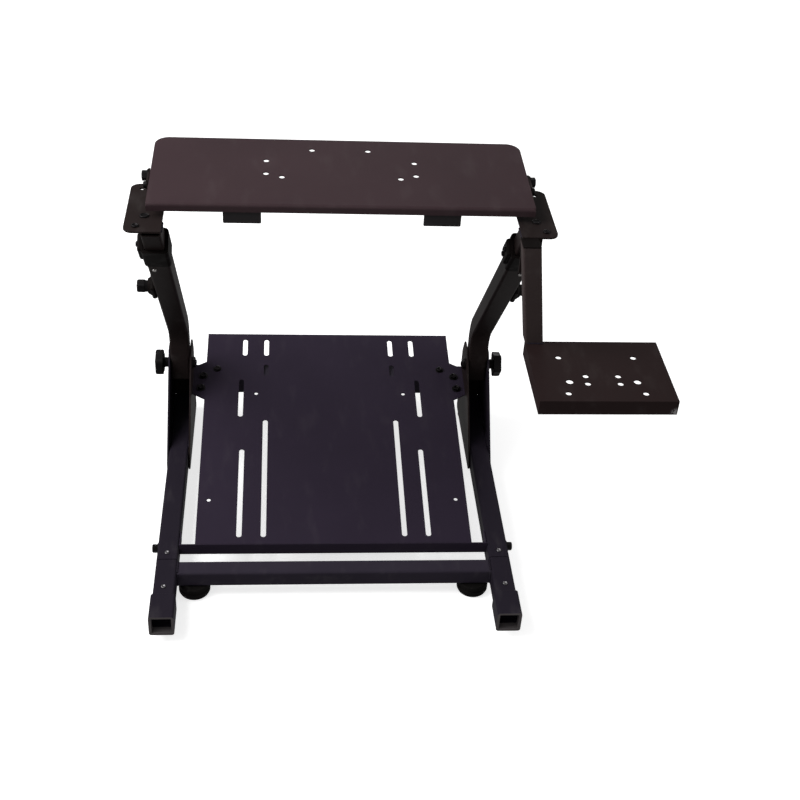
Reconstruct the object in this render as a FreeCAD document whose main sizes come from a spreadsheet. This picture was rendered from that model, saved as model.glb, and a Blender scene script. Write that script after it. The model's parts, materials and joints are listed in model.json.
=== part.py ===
import FreeCAD, Part

import os
import re

import Sketcher

# Racing wheel stand of square steel tube: a low base with a pedal plate, two bent arms that fold
# over the base, telescoping posts with a tilting wheel plate, and a shifter plate on the right.
# Millimetres, +Z up from the floor, +Y away from the driver, +X to the driver's right.

DIMENSIONS = {
    # Place of the stand in its frame
    "mid_x": -80.0,
    "front_y": -339.83,
    # Square tubes and sheet
    "tube_wall": 2.0,
    "rail_width": 35.0,
    "post_width": 30.0,
    "front_bar_width": 30.0,
    "rear_bar_width": 40.0,
    "slide_clearance": 0.5,
    "swing_clearance": 0.5,
    "pin_clearance": 0.3,
    "seat_clearance": 0.3,
    "sheet": 2.0,
    "bracket_sheet": 3.0,
    # Base
    "rail_spacing": 555.0,
    "rail_height": 38.0,
    "rail_start": 26.0,
    "rail_end": 620.0,
    "sleeve_length": 52.0,
    "front_bar_place": 102.0,
    "pad_diameter": 52.0,
    "pad_spacing": 466.0,
    "pad_round": 5.0,
    "rear_pad_diameter": 36.0,
    "rear_pad_place": 595.0,
    "rear_bar_place": 565.0,
    # Gusset plates
    "gusset_front": 400.0,
    "gusset_rear": 600.0,
    "gusset_foot": 22.0,
    "gusset_toe": 36.0,
    "gusset_shoulder": 160.0,
    "gusset_top": 190.0,
    "gusset_crest_front": 546.0,
    "gusset_crest_rear": 584.0,
    "gusset_round": 8.0,
    "web_inset": 4.0,
    # Pedal plate
    "pedal_front": 165.0,
    "pedal_height": 60.0,
    "pedal_tilt": 8.5,
    "pedal_width": 467.0,
    "pedal_length": 520.0,
    "pedal_lip": 22.0,
    "pedal_ear_length": 35.0,
    "pedal_ear_start": 341.0,
    "pedal_ear_end": 441.0,
    "pedal_ear_slope": 14.0,
    "slot_width": 9.0,
    "inner_slot_spacing": 240.0,
    "outer_slot_spacing": 322.0,
    "middle_slot_spacing": 332.0,
    "long_slot_start": 14.0,
    "inner_slot_end": 288.0,
    "outer_slot_end": 215.0,
    "middle_slot_start": 296.0,
    "middle_slot_end": 393.0,
    "bar_slot_start": 404.0,
    "bar_slot_end": 434.0,
    "rear_slot_start": 459.0,
    "rear_slot_end": 505.0,
    "pedal_hole_spacing": 276.0,
    "pedal_hole_place": 356.0,
    "side_hole_spacing": 429.4,
    "side_hole_place": 96.0,
    "pedal_hole_radius": 3.5,
    # Bent arms and fold pivot
    "pivot_place": 553.0,
    "pivot_height": 158.0,
    "pivot_radius": 5.0,
    "arm_foot": 26.0,
    "arm_knee": 236.5,
    "arm_lean": 40.2,
    "arm_bend": 80.0,
    "post_show": 59.3,
    "collar_wall": 3.0,
    "collar_length": 60.0,
    "collar_proud": 6.0,
    "post_foot": 100.0,
    # Head brackets with wings
    "wing_height": 627.0,
    "wing_lead": 17.0,
    "wing_length": 147.0,
    "wing_flange": 24.5,
    "wing_round": 14.0,
    "wing_hole_inset": 17.0,
    "wing_hole_end": 16.0,
    "wing_hole_radius": 3.5,
    "cheek_width": 40.0,
    "cheek_clearance": 1.0,
    "deck_pin_radius": 4.0,
    # Wheel plate
    "deck_pivot_inset": 8.0,
    "deck_pivot_rise": 21.0,
    "deck_pivot_drop": 10.4,
    "deck_tilt": 3.2,
    "deck_width": 573.0,
    "deck_front": 96.2,
    "deck_rear": 101.2,
    "deck_lip": 13.0,
    "deck_cheek": 18.0,
    "deck_cheek_width": 40.0,
    "deck_round": 22.0,
    "deck_hole_radius": 4.5,
    "tab_inner": 120.0,
    "tab_width": 56.0,
    "tab_drop": 20.0,
    "tab_round": 2.0,
    # Shifter post and plate
    "shifter_width": 28.0,
    "shifter_splay": 7.5,
    "shifter_left": 281.0,
    "shifter_drop": 166.0,
    "shifter_plate_width": 206.0,
    "shifter_plate_depth": 153.0,
    "shifter_plate_setback": 22.0,
    "shifter_lip": 24.0,
    "shifter_hole_radius": 4.5,
    "shifter_big_radius": 5.5,
    "hanger_drop": 57.0,
    "hanger_width": 30.0,
    # Star knobs
    "fold_knob_radius": 24.0,
    "fold_knob_thick": 15.0,
    "fold_knob_stand": 10.0,
    "height_knob_radius": 11.0,
    "height_knob_thick": 14.0,
    "height_knob_stand": 18.0,
    "height_knob_place": 240.0,
    "knob_stem_radius": 4.0,
    "knob_tail": 8.0,
    # Allowance by which cutters pass the faces that they cut
    "overcut": 2.0,
}

# Bolt holes of the wheel plate, as half spacing across and distance behind the tilt pins
DECK_HOLES = {
    "deck_rear_pair": (43.6, 69.0),
    "deck_outer_rear": (114.0, 34.0),
    "deck_outer_front": (114.0, -4.6),
    "deck_inner_front": (90.0, -14.0),
}

# Bolt holes of the shifter plate, as half spacing across and distance behind the plate's middle
SHIFTER_HOLES = {
    "shifter_rear": (57.5, 34.0),
    "shifter_front": (57.5, -57.0),
    "shifter_inner_rear": (24.5, -14.0),
    "shifter_inner_front": (24.5, -33.0),
    "shifter_big": (51.0, -28.0),
}

SIDES = {"left": -1, "right": 1}
KNOB_LOBES = 5

# Turn that lays an upright cylinder along each axis
ROD_TURNS = {
    "x": (FreeCAD.Vector(0, 1, 0), 90),
    "y": (FreeCAD.Vector(1, 0, 0), -90),
    "z": (FreeCAD.Vector(0, 0, 1), 0),
}

doc = FreeCAD.newDocument("racing_wheel_stand")
sheet = doc.addObject("Spreadsheet::Sheet", "dims")
nodes = {}


def fill_sheet():
    """Write every driving dimension into the sheet under its alias."""
    rows = dict(DIMENSIONS)
    for name, (across, behind) in {**DECK_HOLES, **SHIFTER_HOLES}.items():
        rows[name + "_across"] = across
        rows[name + "_behind"] = behind
    for row, (alias, value) in enumerate(rows.items(), start=1):
        sheet.set(f"A{row}", alias)
        sheet.set(f"B{row}", str(value))
        sheet.setAlias(f"B{row}", alias)
    doc.recompute()
    return set(rows)


ALIASES = fill_sheet()


def rule(text):
    """Turn a formula in plain aliases into an expression on the sheet."""
    def on_sheet(word):
        """Alias as the sheet knows it, any other word as it stands."""
        return f"dims.{word[0]}" if word[0] in ALIASES else word[0]

    return re.sub(r"[a-z_]+", on_sheet, text)


def size(formula):
    """Value of a formula in plain aliases."""
    return float(sheet.evalExpression(rule(formula)))


def block(name, x, y, z):
    """Box between pairs of formulas along the three axes."""
    box = doc.addObject("Part::Box", name)
    for prop, axis, (low, high) in zip(("Length", "Width", "Height"), "xyz", (x, y, z)):
        box.setExpression(prop, rule(f"({high}) - ({low})"))
        box.setExpression(f"Placement.Base.{axis}", rule(low))
    return box


def rod(name, along, radius, span, x="0", y="0", z="0"):
    """Round bar along one axis, from the first formula of its span to the second."""
    bar = doc.addObject("Part::Cylinder", name)
    bar.Placement.Rotation = FreeCAD.Rotation(*ROD_TURNS[along])
    bar.setExpression("Radius", rule(radius))
    bar.setExpression("Height", rule(f"({span[1]}) - ({span[0]})"))
    for axis, place in {"x": x, "y": y, "z": z, along: span[0]}.items():
        bar.setExpression(f"Placement.Base.{axis}", rule(place))
    return bar


def joined(name, parts):
    """One solid of several that meet."""
    union = doc.addObject("Part::MultiFuse", name)
    union.Shapes = parts
    union.Refine = True
    return union


def cut(name, base, tools):
    """Base solid with every tool taken out of it."""
    group = doc.addObject("Part::Compound", name + "_tools")
    group.Links = tools
    result = doc.addObject("Part::Cut", name)
    result.Base = base
    result.Tool = group
    return result


def trimmed(name, base, keep):
    """What the base solid and the kept block have in common."""
    result = doc.addObject("Part::Common", name)
    result.Base = base
    result.Tool = keep
    return result


def node(label, thing):
    """Register a finished piece under the name of its file."""
    thing.Label = label
    nodes[label] = thing
    return thing


def put(thing, x="0", y="0", z="0", axis=FreeCAD.Vector(1, 0, 0), angle="0"):
    """Place a finished piece, turned about one axis."""
    thing.Placement.Rotation = FreeCAD.Rotation(axis, size(angle))
    for letter, place in {"x": x, "y": y, "z": z}.items():
        thing.setExpression(f"Placement.Base.{letter}", rule(place))
    return thing


def square_tube(name, along, width, span, x="0", y="0", z="0"):
    """Hollow square tube along one axis, centred on the other two."""
    outer = {}
    inner = {}
    for axis, centre in {"x": x, "y": y, "z": z}.items():
        half = f"({width}) / 2"
        outer[axis] = (f"{centre} - {half}", f"{centre} + {half}")
        inner[axis] = (f"{centre} - {half} + tube_wall", f"{centre} + {half} - tube_wall")
    outer[along] = span
    inner[along] = (f"{span[0]} - overcut", f"{span[1]} + overcut")
    return cut(name, block(name + "_outer", **outer), [block(name + "_inner", **inner)])


# Widths that follow from what slides or swings inside
SLEEVE_WIDTH = "rail_width + 2 * slide_clearance + 2 * tube_wall"
ARM_WIDTH = "post_width + 2 * slide_clearance + 2 * tube_wall"
GUSSET_GAP = f"({ARM_WIDTH} + 2 * swing_clearance)"
PIVOT_Y = "front_y + pivot_place"

# Lengths, heights and places that follow from the height of the wings
ARM_REACH = "((wing_height - arm_knee) / cos(arm_lean) - post_show)"
WING_FRONT = f"({PIVOT_Y} - (wing_height - arm_knee) * tan(arm_lean) - wing_lead)"
WING_REAR = f"({WING_FRONT} + wing_length)"
DECK_PIVOT_Y = f"({WING_REAR} - deck_pivot_inset)"
DECK_PIVOT_Z = "(wing_height + deck_pivot_rise)"
SHIFTER_Z = "(wing_height - shifter_drop)"

# Upright cheek beside the wheel plate, and the wing that carries it on the post
CHEEK_FACE = "(deck_width / 2 + cheek_clearance)"
CHEEK_BACK = f"({CHEEK_FACE} + bracket_sheet)"
WING_INNER = f"min((rail_spacing - post_width) / 2; {CHEEK_FACE})"
WING_REACH = f"(max((rail_spacing + post_width) / 2; {CHEEK_BACK}) + wing_flange)"


def rail_x(sign):
    """Middle of one rail, arm and post across the stand."""
    return f"mid_x + {sign} * rail_spacing / 2"


def build_base_tubes():
    """Rails, foot sleeves and the two crossbars."""
    for side, sign in SIDES.items():
        at = {"x": rail_x(sign), "z": "rail_height"}
        rail_span = ("front_y + rail_start", "front_y + rail_end")
        node(f"{side}_rail", square_tube(f"{side}_rail", "y", "rail_width", rail_span, **at))
        sleeve_span = ("front_y", "front_y + sleeve_length")
        sleeve = square_tube(f"{side}_foot_sleeve", "y", SLEEVE_WIDTH, sleeve_span, **at)
        node(f"{side}_foot_sleeve", sleeve)
    reach = "(rail_spacing - rail_width) / 2"
    front_bar = square_tube(
        "front_crossbar", "x", "front_bar_width", (f"mid_x - {reach}", f"mid_x + {reach}"),
        y="front_y + front_bar_place + front_bar_width / 2", z="rail_height",
    )
    node("front_crossbar", front_bar)
    reach = f"((rail_spacing - {GUSSET_GAP}) / 2 - bracket_sheet)"
    plate_rise = "(rear_bar_place - pedal_front) * tan(pedal_tilt) - sheet / cos(pedal_tilt)"
    top = f"(pedal_height + {plate_rise} - seat_clearance)"
    rear_bar = square_tube(
        "rear_crossbar", "x", "rear_bar_width", (f"mid_x - {reach}", f"mid_x + {reach}"),
        y="front_y + rear_bar_place + rear_bar_width / 2", z=f"{top} - rear_bar_width / 2",
    )
    node("rear_crossbar", rear_bar)


def build_pads():
    """Round rubber pads under the front crossbar and under the rear ends of the rails."""
    for side, sign in SIDES.items():
        front = rod(
            f"{side}_front_pad_blank", "z", "pad_diameter / 2", ("0", "rail_height - front_bar_width / 2"),
            x=f"mid_x + {sign} * pad_spacing / 2", y="front_y + front_bar_place + front_bar_width / 2",
        )
        rear = rod(
            f"{side}_rear_pad_blank", "z", "rear_pad_diameter / 2", ("0", "rail_height - rail_width / 2"),
            x=rail_x(sign), y="front_y + rear_pad_place",
        )
        doc.recompute()
        for label, blank in ((f"{side}_front_pad", front), (f"{side}_rear_pad", rear)):
            rounded = doc.addObject("Part::Fillet", label)
            rounded.Base = blank
            rim = [number for number, edge in enumerate(blank.Shape.Edges, start=1)
                   if edge.Closed and edge.BoundBox.ZMax < size("overcut")]
            rounded.Edges = [(number, size("pad_round"), size("pad_round")) for number in rim]
            node(label, rounded)


def gusset_body(label, x):
    """Gusset plate from a sketched outline with the pivot hole, rounded at its corners."""
    outline = [
        ("gusset_front", "gusset_foot"),
        ("gusset_rear", "gusset_foot"),
        ("gusset_rear", "gusset_shoulder"),
        ("gusset_crest_rear", "gusset_top"),
        ("gusset_crest_front", "gusset_top"),
        ("gusset_front", "gusset_toe"),
    ]
    body = doc.addObject("PartDesign::Body", label)
    sketch = body.newObject("Sketcher::SketchObject", label + "_outline")
    plane = next(item for item in body.Origin.OriginFeatures if item.Role == "YZ_Plane")
    sketch.AttachmentSupport = [(plane, "")]
    sketch.MapMode = "FlatFace"
    corners = [FreeCAD.Vector(size(place), size(height), 0) for place, height in outline]
    count = len(corners)
    for index in range(count):
        sketch.addGeometry(Part.LineSegment(corners[index], corners[(index + 1) % count]), False)
    for index in range(count):
        sketch.addConstraint(Sketcher.Constraint("Coincident", index, 2, (index + 1) % count, 1))
    centre = FreeCAD.Vector(size("pivot_place"), size("pivot_height"), 0)
    hole_radius = "pivot_radius + pin_clearance"
    circle = sketch.addGeometry(Part.Circle(centre, FreeCAD.Vector(0, 0, 1), size(hole_radius)), False)
    places = [(index, 1, place, height) for index, (place, height) in enumerate(outline)]
    places.append((circle, 3, "pivot_place", "pivot_height"))
    for geometry, point, place, height in places:
        for kind, formula in (("DistanceX", place), ("DistanceY", height)):
            number = sketch.addConstraint(Sketcher.Constraint(kind, -1, 1, geometry, point, size(formula)))
            sketch.setExpression(f"Constraints[{number}]", rule(formula))
    number = sketch.addConstraint(Sketcher.Constraint("Radius", circle, size(hole_radius)))
    sketch.setExpression(f"Constraints[{number}]", rule(hole_radius))
    pad = body.newObject("PartDesign::Pad", label + "_plate")
    pad.Profile = sketch
    pad.setExpression("Length", rule("bracket_sheet"))
    doc.recompute()
    rims = []
    for number, edge in enumerate(pad.Shape.Edges, start=1):
        first = edge.Vertexes[0].Point
        flat = FreeCAD.Vector(first.y, first.z, 0)
        along_x = len(edge.Vertexes) == 2 and abs(edge.Vertexes[1].X - first.x) > size("bracket_sheet") / 2
        if along_x and min(flat.distanceToPoint(corner) for corner in corners) < size("pin_clearance"):
            rims.append(f"Edge{number}")
    rounding = body.newObject("PartDesign::Fillet", label + "_rounding")
    rounding.Base = (pad, rims)
    rounding.setExpression("Radius", rule("gusset_round"))
    body.setExpression("Placement.Base.x", rule(x))
    body.setExpression("Placement.Base.y", rule("front_y"))
    return body


def build_gussets():
    """Pairs of gusset plates that hold each arm between them, closed at the rear by a web."""
    for side, sign in SIDES.items():
        right_face = f"{rail_x(sign)} + {GUSSET_GAP} / 2"
        left_face = f"{rail_x(sign)} - {GUSSET_GAP} / 2 - bracket_sheet"
        outer, inner = (right_face, left_face) if sign > 0 else (left_face, right_face)
        node(f"{side}_outer_gusset", gusset_body(f"{side}_outer_gusset", outer))
        node(f"{side}_inner_gusset", gusset_body(f"{side}_inner_gusset", inner))
        half = f"{GUSSET_GAP} / 2"
        back = "front_y + gusset_rear - web_inset"
        web = block(
            f"{side}_gusset_web", (f"{rail_x(sign)} - {half}", f"{rail_x(sign)} + {half}"),
            (f"{back} - bracket_sheet", back),
            ("rail_height + rail_width / 2", "gusset_shoulder - 2 * gusset_round"),
        )
        node(f"{side}_gusset_web", web)


def slot(name, x, start, end):
    """Round-ended cutter through the pedal plate."""
    depth = ("-sheet - overcut", "overcut")
    half = "slot_width / 2"
    run = (f"{start} + {half}", f"{end} - {half}")
    middle = block(name + "_run", (f"{x} - {half}", f"{x} + {half}"), run, depth)
    front = rod(name + "_front", "z", half, depth, x=x, y=f"{start} + {half}")
    rear = rod(name + "_rear", "z", half, depth, x=x, y=f"{end} - {half}")
    return joined(name, [middle, front, rear])


def build_pedal_plate():
    """Sloping pedal plate with its slots, ears that reach the gussets, and the front strip on the rails."""
    slots = {
        "inner": ("inner_slot_spacing", "long_slot_start", "inner_slot_end"),
        "outer": ("outer_slot_spacing", "long_slot_start", "outer_slot_end"),
        "middle": ("middle_slot_spacing", "middle_slot_start", "middle_slot_end"),
        "bar": ("inner_slot_spacing", "bar_slot_start", "bar_slot_end"),
        "rear_inner": ("inner_slot_spacing", "rear_slot_start", "rear_slot_end"),
        "rear_outer": ("outer_slot_spacing", "rear_slot_start", "rear_slot_end"),
    }
    holes = {
        "near": ("pedal_hole_spacing", "pedal_hole_place"),
        "side": ("side_hole_spacing", "side_hole_place"),
    }
    sheet_z = ("-sheet", "0")
    parts = [block("pedal_sheet", ("-pedal_width / 2", "pedal_width / 2"), ("0", "pedal_length"), sheet_z)]
    ear_reach = f"((rail_spacing - {GUSSET_GAP}) / 2 - bracket_sheet - pedal_width / 2)"
    tools = []
    for side, sign in SIDES.items():
        ear = doc.addObject("Part::Wedge", f"pedal_ear_{side}")
        ear_length = "(pedal_ear_end - pedal_ear_start)"
        limits = {
            "Xmin": "0", "Xmax": ear_length,
            "Ymin": "0", "Ymax": ear_reach,
            "Zmin": "0", "Zmax": "sheet",
            "X2min": "pedal_ear_slope", "X2max": f"{ear_length} - pedal_ear_slope",
            "Z2min": "0", "Z2max": "sheet",
        }
        for prop, formula in limits.items():
            ear.setExpression(prop, rule(formula))
        ear.Placement.Rotation = FreeCAD.Rotation(FreeCAD.Vector(0, 0, 1), -sign * 90)
        ear.setExpression("Placement.Base.x", rule(f"{sign} * pedal_width / 2"))
        ear_start = "pedal_ear_end" if sign > 0 else "pedal_ear_start"
        ear.setExpression("Placement.Base.y", rule(ear_start))
        ear.setExpression("Placement.Base.z", rule("-sheet"))
        parts.append(ear)
        for name, (spacing, start, end) in slots.items():
            tools.append(slot(f"pedal_slot_{name}_{side}", f"{sign} * {spacing} / 2", start, end))
        for name, (spacing, place) in holes.items():
            through = ("-sheet - overcut", "overcut")
            x = f"{sign} * {spacing} / 2"
            tools.append(rod(f"pedal_hole_{name}_{side}", "z", "pedal_hole_radius", through, x=x, y=place))
    plate = cut("pedal_plate", joined("pedal_blank", parts), tools)
    put(plate, "mid_x", "front_y + pedal_front", "pedal_height", angle="pedal_tilt")
    node("pedal_plate", plate)
    reach = "(rail_spacing - rail_width) / 2"
    heights = ("pedal_height - pedal_lip", "pedal_height")
    strip = [block(
        "pedal_strip_face", (f"mid_x - {reach}", f"mid_x + {reach}"),
        ("front_y + pedal_front - sheet", "front_y + pedal_front"), heights,
    )]
    for side, sign in SIDES.items():
        edge = f"mid_x + {sign} * {reach}"
        span = (f"{edge} - sheet", edge) if sign > 0 else (edge, f"{edge} + sheet")
        run = ("front_y + pedal_front", "front_y + pedal_front + pedal_ear_length")
        low = ("pedal_height - pedal_lip", "rail_height + rail_width / 2")
        strip.append(block(f"pedal_strip_ear_{side}", span, run, low))
    node("pedal_front_strip", joined("pedal_front_strip", strip))


def arm_core(width, foot_over, top_over):
    """Bent square bar on the arm's centre line: upright foot, bend, slanted reach."""
    half = width / 2
    lean = size("arm_lean")
    radius = size("arm_bend")
    tangent = size("arm_bend * tan(arm_lean / 2)")
    bottom = size("pivot_height - arm_foot") - foot_over
    bend_start = size("arm_knee") - tangent
    place = size(PIVOT_Y)
    square = Part.makePolygon([
        FreeCAD.Vector(x * half, place + y * half, bottom)
        for x, y in ((-1, -1), (1, -1), (1, 1), (-1, 1), (-1, -1))
    ])
    face = Part.Face(square)
    foot = face.extrude(FreeCAD.Vector(0, 0, bend_start - bottom))
    face.translate(FreeCAD.Vector(0, 0, bend_start - bottom))
    bend_centre = FreeCAD.Vector(0, place - radius, bend_start)
    bend = face.revolve(bend_centre, FreeCAD.Vector(1, 0, 0), lean)
    turned = face.copy()
    turned.rotate(bend_centre, FreeCAD.Vector(1, 0, 0), lean)
    run = size(ARM_REACH) - tangent + top_over
    direction = FreeCAD.Rotation(FreeCAD.Vector(1, 0, 0), lean).multVec(FreeCAD.Vector(0, 0, 1))
    reach = turned.extrude(direction * run)
    return foot.fuse([bend, reach]).removeSplitter()


SLANT_Y = f"{PIVOT_Y} - sin(arm_lean)"
SLANT_Z = "arm_knee + cos(arm_lean)"


def on_arm(distance):
    """Place on the slanted centre line, at a distance from its corner with the upright foot."""
    return {"y": f"{SLANT_Y} * ({distance})", "z": f"{SLANT_Z} * ({distance})"}


def slanted_tube(name, outer_width, inner_width, start, end, sign):
    """Square tube along the slanted centre line of one arm."""
    shells = []
    for part, width, over in (("outer", outer_width, "0"), ("inner", inner_width, "overcut")):
        half = f"({width}) / 2"
        shells.append(block(
            f"{name}_{part}", (f"-{half}", half), (f"-{half}", half),
            (f"({start}) - {over}", f"({end}) + {over}"),
        ))
    tube = cut(name, shells[0], [shells[1]])
    return put(tube, rail_x(sign), PIVOT_Y, "arm_knee", angle="arm_lean")


def build_arms():
    """Bent arm tubes with their pivot and knob holes, and the collars at their tops."""
    for side, sign in SIDES.items():
        overcut = size("overcut")
        hollow = arm_core(size(f"{ARM_WIDTH} - 2 * tube_wall"), overcut, overcut)
        tube = arm_core(size(ARM_WIDTH), 0, 0).cut(hollow)
        blank = doc.addObject("Part::Feature", f"{side}_arm_tube")
        blank.Shape = tube
        put(blank, rail_x(sign))
        half = f"(({ARM_WIDTH}) / 2 + overcut)"
        across = (f"{rail_x(sign)} - {half}", f"{rail_x(sign)} + {half}")
        pivot = rod(
            f"{side}_arm_pivot_hole", "x", "pivot_radius + pin_clearance", across,
            y=PIVOT_Y, z="pivot_height",
        )
        outward = (rail_x(sign), across[1]) if sign > 0 else (across[0], rail_x(sign))
        knob = rod(
            f"{side}_arm_knob_hole", "x", "knob_stem_radius + pin_clearance", outward,
            **on_arm("height_knob_place"),
        )
        node(f"{side}_arm", cut(f"{side}_arm", blank, [pivot, knob]))
        collar = slanted_tube(
            f"{side}_arm_collar", f"{ARM_WIDTH} + 2 * collar_wall", ARM_WIDTH,
            f"{ARM_REACH} + collar_proud - collar_length", f"{ARM_REACH} + collar_proud", sign,
        )
        node(f"{side}_arm_collar", collar)


def build_posts():
    """Telescoping posts, cut level under the wings and clear of the shifter hanger."""
    for side, sign in SIDES.items():
        top = "(wing_height - arm_knee) / cos(arm_lean) + post_width"
        tube = slanted_tube(
            f"{side}_post_tube", "post_width", "post_width - 2 * tube_wall", "post_foot", top, sign,
        )
        half = "(post_width / 2 + overcut)"
        keep = block(
            f"{side}_post_room", (f"{rail_x(sign)} - {half}", f"{rail_x(sign)} + {half}"),
            (f"{WING_FRONT} + bracket_sheet + seat_clearance", PIVOT_Y),
            ("arm_knee", "wing_height"),
        )
        node(f"{side}_post", trimmed(f"{side}_post", tube, keep))


def build_head_brackets():
    """Wing plates on the posts, each with an upright cheek and the pin that the wheel plate tilts on."""
    for side, sign in SIDES.items():
        near, far = (WING_INNER, WING_REACH) if sign > 0 else (f"-{WING_REACH}", f"-{WING_INNER}")
        wing = block(
            f"{side}_wing", (f"mid_x + {near}", f"mid_x + {far}"), (WING_FRONT, WING_REAR),
            ("wing_height", "wing_height + bracket_sheet"),
        )
        doc.recompute()
        rounded = doc.addObject("Part::Fillet", f"{side}_wing_rounded")
        rounded.Base = wing
        outer_x = size(f"mid_x + {sign} * {WING_REACH}")
        rims = [number for number, edge in enumerate(wing.Shape.Edges, start=1)
                if abs(edge.CenterOfMass.x - outer_x) < size("overcut")
                and edge.BoundBox.ZLength > size("bracket_sheet") / 2]
        rounded.Edges = [(number, size("wing_round"), size("wing_round")) for number in rims]
        low, high = (CHEEK_FACE, CHEEK_BACK) if sign > 0 else (f"-{CHEEK_BACK}", f"-{CHEEK_FACE}")
        cheek_top = f"{DECK_PIVOT_Z} + deck_pivot_drop - sheet"
        cheek = block(
            f"{side}_cheek", (f"mid_x + {low}", f"mid_x + {high}"),
            (f"{WING_REAR} - cheek_width", WING_REAR), ("wing_height", cheek_top),
        )
        pin_start = "deck_width / 2 - sheet - knob_tail / 2"
        span = (pin_start, CHEEK_FACE) if sign > 0 else (f"-{CHEEK_FACE}", f"-({pin_start})")
        pin = rod(
            f"{side}_deck_pin", "x", "deck_pin_radius", (f"mid_x + {span[0]}", f"mid_x + {span[1]}"),
            y=DECK_PIVOT_Y, z=DECK_PIVOT_Z,
        )
        through = ("wing_height - overcut", "wing_height + bracket_sheet + overcut")
        x = f"mid_x + {sign} * ({WING_REACH} - wing_hole_inset)"
        places = {"front": f"{WING_FRONT} + wing_hole_end", "rear": f"{WING_REAR} - wing_hole_end"}
        holes = [
            rod(f"{side}_wing_hole_{end}", "z", "wing_hole_radius", through, x=x, y=place)
            for end, place in places.items()
        ]
        solid = joined(f"{side}_bracket_blank", [rounded, cheek, pin])
        node(f"{side}_head_bracket", cut(f"{side}_head_bracket", solid, holes))


def build_wheel_plate():
    """Wheel plate with a front lip, side cheeks on the tilt pins, bolt holes and two hanging tabs."""
    under = "deck_pivot_drop - sheet"
    half = "deck_width / 2"
    sheet_blank = block(
        "deck_sheet", (f"-{half}", half), ("-deck_front", "deck_rear"), (under, "deck_pivot_drop"),
    )
    doc.recompute()
    rounded = doc.addObject("Part::Fillet", "deck_sheet_rounded")
    rounded.Base = sheet_blank
    rims = [number for number, edge in enumerate(sheet_blank.Shape.Edges, start=1)
            if edge.BoundBox.ZLength > size("sheet") / 2 and edge.CenterOfMass.y > 0]
    rounded.Edges = [(number, size("deck_round"), size("deck_round")) for number in rims]
    lip = block(
        "deck_lip_strip", (f"-{half}", half), ("-deck_front", "-deck_front + sheet"),
        ("deck_pivot_drop - deck_lip", "deck_pivot_drop"),
    )
    parts = [rounded, lip]
    tools = []
    for side, sign in SIDES.items():
        span = (f"{half} - sheet", half) if sign > 0 else (f"-{half}", f"-{half} + sheet")
        parts.append(block(
            f"deck_cheek_{side}", span, ("-deck_cheek_width / 2", "deck_cheek_width / 2"),
            ("deck_pivot_drop - deck_cheek", "deck_pivot_drop"),
        ))
        around = (f"{span[0]} - overcut", f"{span[1]} + overcut")
        tools.append(rod(f"deck_pin_hole_{side}", "x", "deck_pin_radius + pin_clearance", around))
        for name in DECK_HOLES:
            tools.append(rod(
                f"{name}_{side}", "z", "deck_hole_radius",
                (f"{under} - overcut", "deck_pivot_drop + overcut"),
                x=f"{sign} * {name}_across", y=f"{name}_behind",
            ))
    plate = cut("wheel_plate", joined("deck_blank", parts), tools)
    at = ("mid_x", DECK_PIVOT_Y, DECK_PIVOT_Z)
    node("wheel_plate", put(plate, *at, angle="deck_tilt"))
    for side, sign in SIDES.items():
        tab_outer = "tab_inner + tab_width"
        span = ("tab_inner", tab_outer) if sign > 0 else (f"-({tab_outer})", "-tab_inner")
        tab = block(
            f"{side}_tab_blank", span, ("-deck_front + sheet", "-deck_front + 2 * sheet"),
            ("deck_pivot_drop - deck_lip - tab_drop", under),
        )
        doc.recompute()
        rounded = doc.addObject("Part::Fillet", f"{side}_front_tab")
        rounded.Base = tab
        middle = tab.Shape.CenterOfMass.z
        rims = [number for number, edge in enumerate(tab.Shape.Edges, start=1)
                if edge.BoundBox.YLength > size("sheet") / 2 and edge.CenterOfMass.z < middle]
        rounded.Edges = [(number, size("tab_round"), size("tab_round")) for number in rims]
        node(f"{side}_front_tab", put(rounded, *at, angle="deck_tilt"))


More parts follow.
